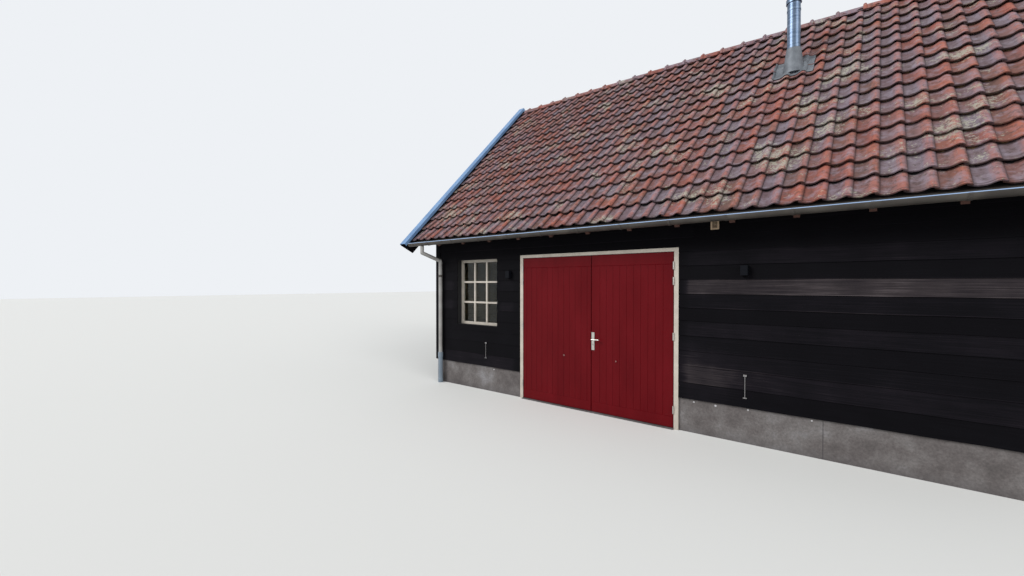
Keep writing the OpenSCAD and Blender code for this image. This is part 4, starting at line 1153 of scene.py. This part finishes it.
# %% [markdown]
# A wall is clad course by course, with one joint in each. The heights of the courses were read from the
# photo, and go on evenly up the gables. Each opening is a box that a boolean cuts out of the boards it
# meets, and two slanted cuts trim a gable along the roof.


# %% Clad a wall
COURSE_EDGES = [0.430, 0.640, 0.860, 1.050, 1.240, 1.430, 1.595, 1.775, 1.955, 2.135, 2.315, 2.495, 2.630]
GABLE_COURSE = 183 * MM
while COURSE_EDGES[-1] < ridge_z:
    COURSE_EDGES.append(COURSE_EDGES[-1] + GABLE_COURSE)
# Gable boards are laid up to the first of these depths under the ridge line and cut at the second
GABLE_LAID, GABLE_CUT = 150 * MM, 204 * MM
# Beside an opening wider than this a course has its joint in the opening
WIDE_OPENING = 2.0
# Cutters reach this far in front of and behind the wall face
CUT_DEPTH = 0.1
# A course that would show less than this under the top of the wall is left out
THIN_COURSE = 20 * MM
# The least tone of a board and how much more it can be; most boards stay near the least
TONE_LEAST, TONE_MORE = 0.04, 0.36


def wall_turn(wall):
    """Wall frame to building frame: X along the wall, -Y outwards, Y = 0 at the wall face."""
    turn, place = {"front": (0, (0, -half_d, 0)), "back": (math.pi, (0, half_d, 0)),
                   "right": (math.pi / 2, (half_l, 0, 0)), "left": (-math.pi / 2, (-half_l, 0, 0))}[wall]
    return Matrix.Translation(place) @ Matrix.Rotation(turn, 4, "Z")


def clad_wall(name, wall, reach, top, openings, tones=None):
    """Courses of boards from -reach to reach; openings are (left, right, foot, head) in the wall's frame.

    tones gives some boards a tone of their own: {(course, left 0 or right 1): tone}.
    """
    boards = []
    gable = wall in ("left", "right")
    cutters = [add_box("cutter", (left, -CUT_DEPTH, foot), (right, CUT_DEPTH, head))
               for left, right, foot, head in openings]
    for course, (z0, z1) in enumerate(zip(COURSE_EDGES, COURSE_EDGES[1:])):
        if z0 >= top - THIN_COURSE:
            break
        z1 = min(z1, top)
        half = min(reach, (ridge_z - z0 - GABLE_LAID) / math.tan(pitch)) if gable else reach
        joint = rng.uniform(-0.35, 0.35) * half
        for left, right, foot, head in openings:
            if right - left > WIDE_OPENING and z0 < head:
                joint = (left + right) / 2
        for side, (x0, x1) in enumerate(((-half, joint - MM), (joint + MM, half))):
            tone = (tones or {}).get((course, side), TONE_LEAST + TONE_MORE * rng.random() ** 2)
            board = lay_board(x0, x1, z0, z1, tone)
            for (left, right, foot, head), cutter in zip(openings, cutters):
                if x0 < right and x1 > left and z0 < head and z1 + BOARD_LAP > foot:
                    finish_with(board, "BOOLEAN", operation="DIFFERENCE", object=cutter, solver="EXACT")
            boards.append(board)
    for cutter in cutters:
        remove(cutter)
    boards = join(name, boards)
    if gable:
        edit(boards)
        for side in (-1, 1):
            bpy.ops.mesh.select_all(action="SELECT")
            bpy.ops.mesh.bisect(plane_co=(0, 0, ridge_z - GABLE_CUT), clear_outer=True, use_fill=True,
                                plane_no=(side * math.sin(pitch), 0, math.cos(pitch)))
        leave_edit()
    boards.data.transform(wall_turn(wall))
    return boards


print("courses", len(COURSE_EDGES) - 1)

# %% [markdown]
# The front has a doorway and a window, the back a window. Some boards of the front are replaced or better
# kept than others, so their tones are listed one by one. Beside the doorway, rubbing has worn the tar thin.


# %% Clad the four walls
FRONT_TONES = {(7, 1): 0.68, (0, 1): 0.12, (1, 1): 0.36, (6, 1): 0.26, (2, 1): 0.22, (9, 1): 0.30}
# The gable boards end at this height, just under the ridge
GABLE_TOP = 6.2
# The top board's edge stands this far over the wall
OVER_WALL = 14 * MM
# Middle of the worn place, how far it reaches, and how much tone it adds
WORN_PLACE, WORN_REACH, WORN_MORE = (0.85, -half_d, 0.75), 0.45, 0.35


def wear_patch(obj, middle, reach, amount):
    """Raises the tone of the boards round one place, where the tar has worn thin."""
    layer = obj.data.attributes["tone"]
    for point, value in zip(obj.data.vertices, layer.data):
        value.value += amount * math.exp(-((point.co - Vector(middle)).length / reach) ** 2)


window_low, window_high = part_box("window_frames")
wx0, wx1, wz0, wz1 = window_low.x, window_high.x, window_low.z, window_high.z
posts_low, posts_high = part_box("door_posts")
door_hole = (posts_low.x, posts_high.x, -0.1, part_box("door_head")[1].z)
eaves_top = wall_top + OVER_WALL
front = clad_wall("front_weatherboards", "front", half_l, eaves_top, [(wx0, wx1, wz0, wz1), door_hole],
                  FRONT_TONES)
wear_patch(front, WORN_PLACE, WORN_REACH, WORN_MORE)
back = clad_wall("back_weatherboards", "back", half_l, eaves_top, [(-wx1, -wx0, wz0, wz1)])
left = clad_wall("left_gable_weatherboards", "left", half_d, GABLE_TOP, [])
right = clad_wall("right_gable_weatherboards", "right", half_d, GABLE_TOP, [])
for boards, material in ((front, tarred_along_x), (back, tarred_along_x),
                         (left, tarred_along_y), (right, tarred_along_y)):
    place_piece(boards, material)
remove(unit_board)

# %% [markdown]
# ## Corner boards
# Corner boards hide the ends of the lapped boards. Each corner takes two upright boards, one on either
# wall. They are boxes with their edges eased by a bevel.

# %% Corner boards
CORNER_W, CORNER_T = 95 * MM, 18 * MM
# The edges of boards, straps and plates are eased by this much
EASED = 2 * MM
corner_boards = []
for sx in (-1, 1):
    for sy in (-1, 1):
        on_long_wall = ((half_l - CORNER_W, half_l + CORNER_T), (half_d, half_d + CORNER_T))
        on_gable = ((half_l, half_l + CORNER_T), (half_d - CORNER_W, half_d))
        for xs, ys in (on_long_wall, on_gable):
            (x0, x1), (y0, y1) = sorted(sx * x for x in xs), sorted(sy * y for y in ys)
            corner = add_box("corner", (x0, y0, COURSE_EDGES[0]), (x1, y1, eaves_top))
            corner_boards.append(set_tone(corner, 0.1 + 0.15 * rng.random()))
corner_boards = finish_with(join("corner_boards", corner_boards), "BEVEL", width=EASED, segments=1)
place_piece(corner_boards, tarred_along_y)

# %% [markdown]
# ## Boarded doors
# Each leaf is made of upright tongue-and-groove boards between a top and a bottom rail. Grooves could be cut
# into one slab, but separate boards with chamfered edges leave the V-shaped groove between them by
# themselves. They sit on either face of a core that is set back by the depth of the groove.


# %% Board the two leaves
GROOVE = 5 * MM
CHAMFER = 3.5 * MM
TOP_RAIL = 158 * MM
BOTTOM_RAIL = 145 * MM
# Width of the boards, and of the first one beside the meeting of the leaves
LEFT_BOARD, LEFT_FIRST = 102.9 * MM, 65 * MM
RIGHT_BOARD, RIGHT_FIRST = 103.6 * MM, 137 * MM


def board_leaf(name, door, lines):
    """Boards one leaf on both faces; lines are the places of the grooves along X."""
    low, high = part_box(door)
    pieces = [add_box("core", (low.x, low.y + GROOVE, low.z), (high.x, high.y - GROOVE, high.z))]
    rails = [(low.z, low.z + BOTTOM_RAIL), (high.z - TOP_RAIL, high.z)]
    edges = [low.x] + lines + [high.x]
    for y0, y1 in ((low.y, low.y + GROOVE + MM), (high.y - GROOVE - MM, high.y)):
        for z0, z1 in rails:
            pieces.append(add_box("rail", (low.x, y0, z0), (high.x, y1, z1)))
        for x0, x1 in zip(edges, edges[1:]):
            pieces.append(add_box("board", (x0, y0, rails[0][1]), (x1, y1, rails[1][0])))
    for piece in pieces[1:]:
        edit(piece, "EDGE")
        select_where(piece, "edges", lambda e: all(v.co.y < low.y + MM or v.co.y > high.y - MM
                                                   for v in e.verts))
        bpy.ops.mesh.bevel(offset=CHAMFER, segments=1)
        leave_edit()
    place_piece(join(name, pieces), red_gloss, body=door, instead_of=[door])


left_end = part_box("left_door")[1].x
right_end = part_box("right_door")[0].x
left_lines = [left_end - LEFT_FIRST - LEFT_BOARD * i for i in range(11, -1, -1)]
right_lines = [right_end + RIGHT_FIRST + RIGHT_BOARD * i for i in range(10)]
board_leaf("left_boarded_leaf", "left_door", left_lines)
board_leaf("right_boarded_leaf", "right_door", right_lines)

# %% [markdown]
# ## Window bars
# Two upright and two level glazing bars divide each window into nine panes. They stand in front of the glass
# and are as deep as the front half of the frame. Their places were read from the photo. The back window has
# the same bars, mirrored.

# %% Glazing bars
BAR_W, BAR_EASED = 34 * MM, 3 * MM
BAR_X = (-3.073, -2.776)
BAR_Z = (1.558, 1.932)
FRAME_W = 48 * MM
bar_y = window_low.y
glass_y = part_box("window_glass")[0].y
bars = []
for x in BAR_X:
    bars.append(add_box("bar", (x - BAR_W / 2, bar_y, wz0 + FRAME_W),
                        (x + BAR_W / 2, glass_y, wz1 - FRAME_W)))
for z in BAR_Z:
    bars.append(add_box("bar", (wx0 + FRAME_W, bar_y + MM, z - BAR_W / 2),
                        (wx1 - FRAME_W, glass_y, z + BAR_W / 2)))
for bar in bars:
    finish_with(bar, "BEVEL", width=BAR_EASED, segments=1)
front_bars = join("front_window_bars", bars)
back_bars = copy_of(front_bars, "back_window_bars", Matrix.Scale(-1, 4, (0, 1, 0)))
turn_outwards(back_bars)
place_piece(front_bars, cream_paint)
place_piece(back_bars, cream_paint)

# %% [markdown]
# ## Vent under the eaves
# The vent is a frame with level slats that keep the rain out and a wire mesh that keeps birds out. A
# wireframe modifier turns the edges of a grid into real wires, which is much less work than laying them
# one by one. A dark sheet behind them is painted shade that stands for the dark hole.

# %% Vent mesh and slats
VENT_RIM = 14 * MM
MESH_DEEP, SHEET_T, WIRE_T = 13 * MM, 3 * MM, 1.2 * MM
SLATS, SLAT_STEP, SLAT_T = 5, 16 * MM, 5 * MM
FIRST_SLAT, SLAT_FRONT, SLAT_BACK = 24 * MM, 8 * MM, 5 * MM

vent_low, vent_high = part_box("eaves_vent")
mesh_y = vent_high.y - MESH_DEEP
# A painted shade sheet standing for the dark hole behind the mesh
hole_shade_sheet = add_box("hole_shade_sheet", (vent_low.x + VENT_RIM, mesh_y, vent_low.z + VENT_RIM),
                  (vent_high.x - VENT_RIM, mesh_y + SHEET_T, vent_high.z - VENT_RIM))
clear_selection()
bpy.ops.mesh.primitive_grid_add(x_subdivisions=11, y_subdivisions=14, size=1, rotation=(math.pi / 2, 0, 0))
wires = bpy.context.object
wires.scale = (vent_high.x - vent_low.x - 2 * VENT_RIM, vent_high.z - vent_low.z - 2 * VENT_RIM, 1)
wires.location = ((vent_low.x + vent_high.x) / 2, mesh_y - MM, (vent_low.z + vent_high.z) / 2)
wires = finish_with(settle(wires), "WIREFRAME", thickness=WIRE_T)
place_piece(join("vent_mesh_and_hole_shade", [hole_shade_sheet, wires]), mesh_and_hole_shade)
slats = add_box("vent_slats", (vent_low.x + VENT_RIM, mesh_y - SLAT_FRONT, vent_low.z + FIRST_SLAT),
                (vent_high.x - VENT_RIM, mesh_y - SLAT_BACK, vent_low.z + FIRST_SLAT + SLAT_T))
finish_with(slats, "ARRAY", count=SLATS, use_relative_offset=False, use_constant_offset=True,
            constant_offset_displace=(0, 0, SLAT_STEP))
place_piece(slats, vent_plastic)

# %% [markdown]
# ## Lamp lenses
# Each wall lamp is a black tube that shines up and down. A thin disc of frosted glass closes either end, a
# little inside the rim.

# %% Lamp lenses
LAMP_W = 78 * MM
LENS_R, LENS_T, LENS_IN = 26.8 * MM, 6 * MM, 3 * MM
lamp_low, lamp_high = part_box("wall_lamps")
lamp_y = (lamp_low.y + lamp_high.y) / 2
lenses = []
for x in (lamp_low.x + LAMP_W / 2, lamp_high.x - LAMP_W / 2):
    for z in (lamp_low.z + LENS_IN, lamp_high.z - LENS_IN - LENS_T):
        lenses.append(add_round("lens", LENS_R, (x, lamp_y, z), (x, lamp_y, z + LENS_T), 32))
place_piece(smooth(join("lamp_lenses", lenses)), lens_glass)

# %% [markdown]
# ## Lock cylinder
# Below the lever the plate holds a profile cylinder: a round barrel over a narrow foot. It is a rod joined
# with a box. Its key slot is a dark sliver of painted shadow with its edges eased, because the hole itself
# is too small to see into.

# %% Lock cylinder and key slot
LOCK_UP = 84 * MM
BARREL_R, LOCK_PROUD, LOCK_DEEP = 8.5 * MM, 3 * MM, 4 * MM
FOOT_HALF, FOOT_DOWN = 5 * MM, 20 * MM
SLOT_HALF, SLOT_UP, SLOT_FRONT, SLOT_BACK = MM, 4 * MM, 3.6 * MM, 2.5 * MM
SLOT_EASED = 0.4 * MM

plate_low, plate_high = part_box("handle_plates")
lock_x, plate_y = (plate_low.x + plate_high.x) / 2, plate_low.y
lock_z = plate_low.z + LOCK_UP
barrel = add_round("lock_cylinder", BARREL_R, (lock_x, plate_y - LOCK_PROUD, lock_z),
                   (lock_x, plate_y + LOCK_DEEP, lock_z))
foot = add_box("foot", (lock_x - FOOT_HALF, plate_y - LOCK_PROUD, lock_z - FOOT_DOWN),
               (lock_x + FOOT_HALF, plate_y + LOCK_DEEP, lock_z))
place_piece(smooth(join("lock_cylinder", [barrel, foot])), nickel, body="right_door")
key_slot = add_box("key_slot", (lock_x - SLOT_HALF, plate_y - SLOT_FRONT, lock_z - SLOT_UP),
                   (lock_x + SLOT_HALF, plate_y - SLOT_BACK, lock_z + SLOT_UP))
finish_with(key_slot, "BEVEL", width=SLOT_EASED, segments=2)
place_piece(key_slot, dark_slot, body="right_door")

# %% [markdown]
# ## Pipe clips
# A dark strap with two ears holds each upper downpipe to the wall. A rod a little wider than the pipe and a
# flat box through it give the strap and its ears.

# %% Clip the downpipes
PIPE_OUT, CLIP_Z = 60 * MM, 2.05
STRAP_R, STRAP_HALF = 41 * MM, 20 * MM
EARS_HALF = Vector((58 * MM, 4 * MM, 12 * MM))

foot_low, foot_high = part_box("downpipe_feet")
pipe_x = (foot_low.x + foot_high.x) / 2
strap_up = Vector((0, 0, STRAP_HALF))
clips = []
for side in (-1, 1):
    middle = Vector((pipe_x, side * (half_d + PIPE_OUT), CLIP_Z))
    clips.append(add_round("strap", STRAP_R, middle - strap_up, middle + strap_up, 32))
    clips.append(add_box("ears", middle - EARS_HALF, middle + EARS_HALF))
clips = finish_with(join("pipe_clips", clips), "BEVEL", width=EASED, segments=1, limit_method="ANGLE")
place_piece(smooth(clips), strap_steel)

# %% [markdown]
# ## Plates of the stay hooks
# A stay hook holds an open leaf to the wall. A small screwed plate carries each end of a hook: a broad one
# at its eye and a low one where its tip rests.

# %% Hook plates
# Places of the two hooks and of their eyes, from the corners of the hooks' box
LEFT_HOOK_IN, RIGHT_HOOK_IN = 18 * MM, 11 * MM
EYE_DOWN, RIGHT_LOWER, TIP_UP = 30 * MM, 35 * MM, 4 * MM
PLATE_T = 6 * MM
# Half the width and half the height of the plate at an eye and of the one at a tip
EYE_PLATE, TIP_PLATE = (19 * MM, 12 * MM), (22 * MM, 6 * MM)
EYE_OVER = 2 * MM

hook_low, hook_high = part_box("stay_hooks")
left_eye = hook_high.z - EYE_DOWN
right_eye = left_eye - RIGHT_LOWER
hook_long = right_eye - hook_low.z - TIP_UP
plates = []
for x, eye in ((hook_low.x + LEFT_HOOK_IN, left_eye), (hook_high.x - RIGHT_HOOK_IN, right_eye)):
    for z, (across, up) in ((eye + EYE_OVER, EYE_PLATE), (eye - hook_long, TIP_PLATE)):
        plates.append(add_box("plate", (x - across, hook_low.y, z - up),
                              (x + across, hook_low.y + PLATE_T, z + up)))
plates = finish_with(join("hook_plates", plates), "BEVEL", width=EASED, segments=1)
place_piece(plates, galvanised)

# %% [markdown]
# ## Plugs in the plinth
# Old fixing holes in the plinth are filled with pale mortar. Each plug is a short twelve-sided rod that
# stands a hair proud of the concrete. The places and radii were read from the photo.

# %% Plinth plugs
PLUG_PROUD, PLUG_DEEP = 1.5 * MM, 5 * MM
PLUGS = [(0.897, 0.395, 10 * MM), (1.156, 0.392, 13 * MM), (1.518, 0.405, 10 * MM),
         (2.149, 0.401, 9 * MM), (-2.515, 0.39, 12 * MM)]
plinth_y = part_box("front_plinth")[0].y
plugs = [add_round("plug", radius, (x, plinth_y - PLUG_PROUD, z), (x, plinth_y + PLUG_DEEP, z), 12)
         for x, z, radius in PLUGS]
place_piece(join("plinth_plugs", plugs), pale_mortar)

# %% [markdown]
# ## Floor and surroundings
# The stage is a wide pale floor that takes the shadow. The world is a soft even light. Rays that come from
# the camera, a mirror or glass see it at full strength, so the background is white and metal shows it too,
# while the light it sheds on the building stays lower.

# %% Stage and world
FLOOR_SIZE, FLOOR_BELOW = 160, MM
clear_selection()
bpy.ops.mesh.primitive_plane_add(size=FLOOR_SIZE, location=(0, 0, -FLOOR_BELOW))
ground = bpy.context.object
ground.name = "stage_floor"
ground_material = bpy.data.materials.new("pale_stage")
ground_material.use_nodes = True
ground_shader = ground_material.node_tree.nodes["Principled BSDF"]
ground_shader.inputs["Base Color"].default_value = linear("#D9D9D6")
ground_shader.inputs["Roughness"].default_value = 0.9
paint(ground, ground_material)

world = bpy.data.worlds.new("studio")
bpy.context.scene.world = world
world.use_nodes = True
tree = world.node_tree
rays = add_node(tree, "ShaderNodeLightPath")
seen = add_node(tree, "ShaderNodeMath", {0: (rays, "Is Camera Ray"), 1: (rays, "Is Glossy Ray")},
                operation="MAXIMUM")
seen = add_node(tree, "ShaderNodeMath", {0: (seen, "Value"), 1: (rays, "Is Transmission Ray")},
                operation="MAXIMUM")
strength = add_node(tree, "ShaderNodeMapRange", {"Value": (seen, "Value"), "To Min": 0.62, "To Max": 1.0})
shade = tree.nodes["Background"]
shade.inputs["Color"].default_value = linear("#EEF1F5")
tree.links.new(strength.outputs["Result"], shade.inputs["Strength"])
print("stage of", FLOOR_SIZE, "m under a soft sky")

# %% [markdown]
# ## Lamps
# Two lamps like a hazy sun, so wide that their shadows have soft edges. A sun lights the floor as evenly
# far away as near the building, where an area lamp would leave a bright spot.


# %% Key and fill light
def add_lamp(name, toward_lamp, width, strength):
    """A far lamp; width is how wide it looks in radians, strength its light in watts per square metre."""
    lamp = bpy.data.objects.new(name, bpy.data.lights.new(name, "SUN"))
    lamp.data.angle = width
    lamp.data.energy = strength
    lamp.rotation_euler = Vector(toward_lamp).to_track_quat("Z", "Y").to_euler()
    bpy.context.scene.collection.objects.link(lamp)


add_lamp("key_light", (-9, -11, 9.5), 0.45, 2.4)
add_lamp("fill_light", (13, -6, 6.5), 0.6, 1.1)
print("two lamps placed")
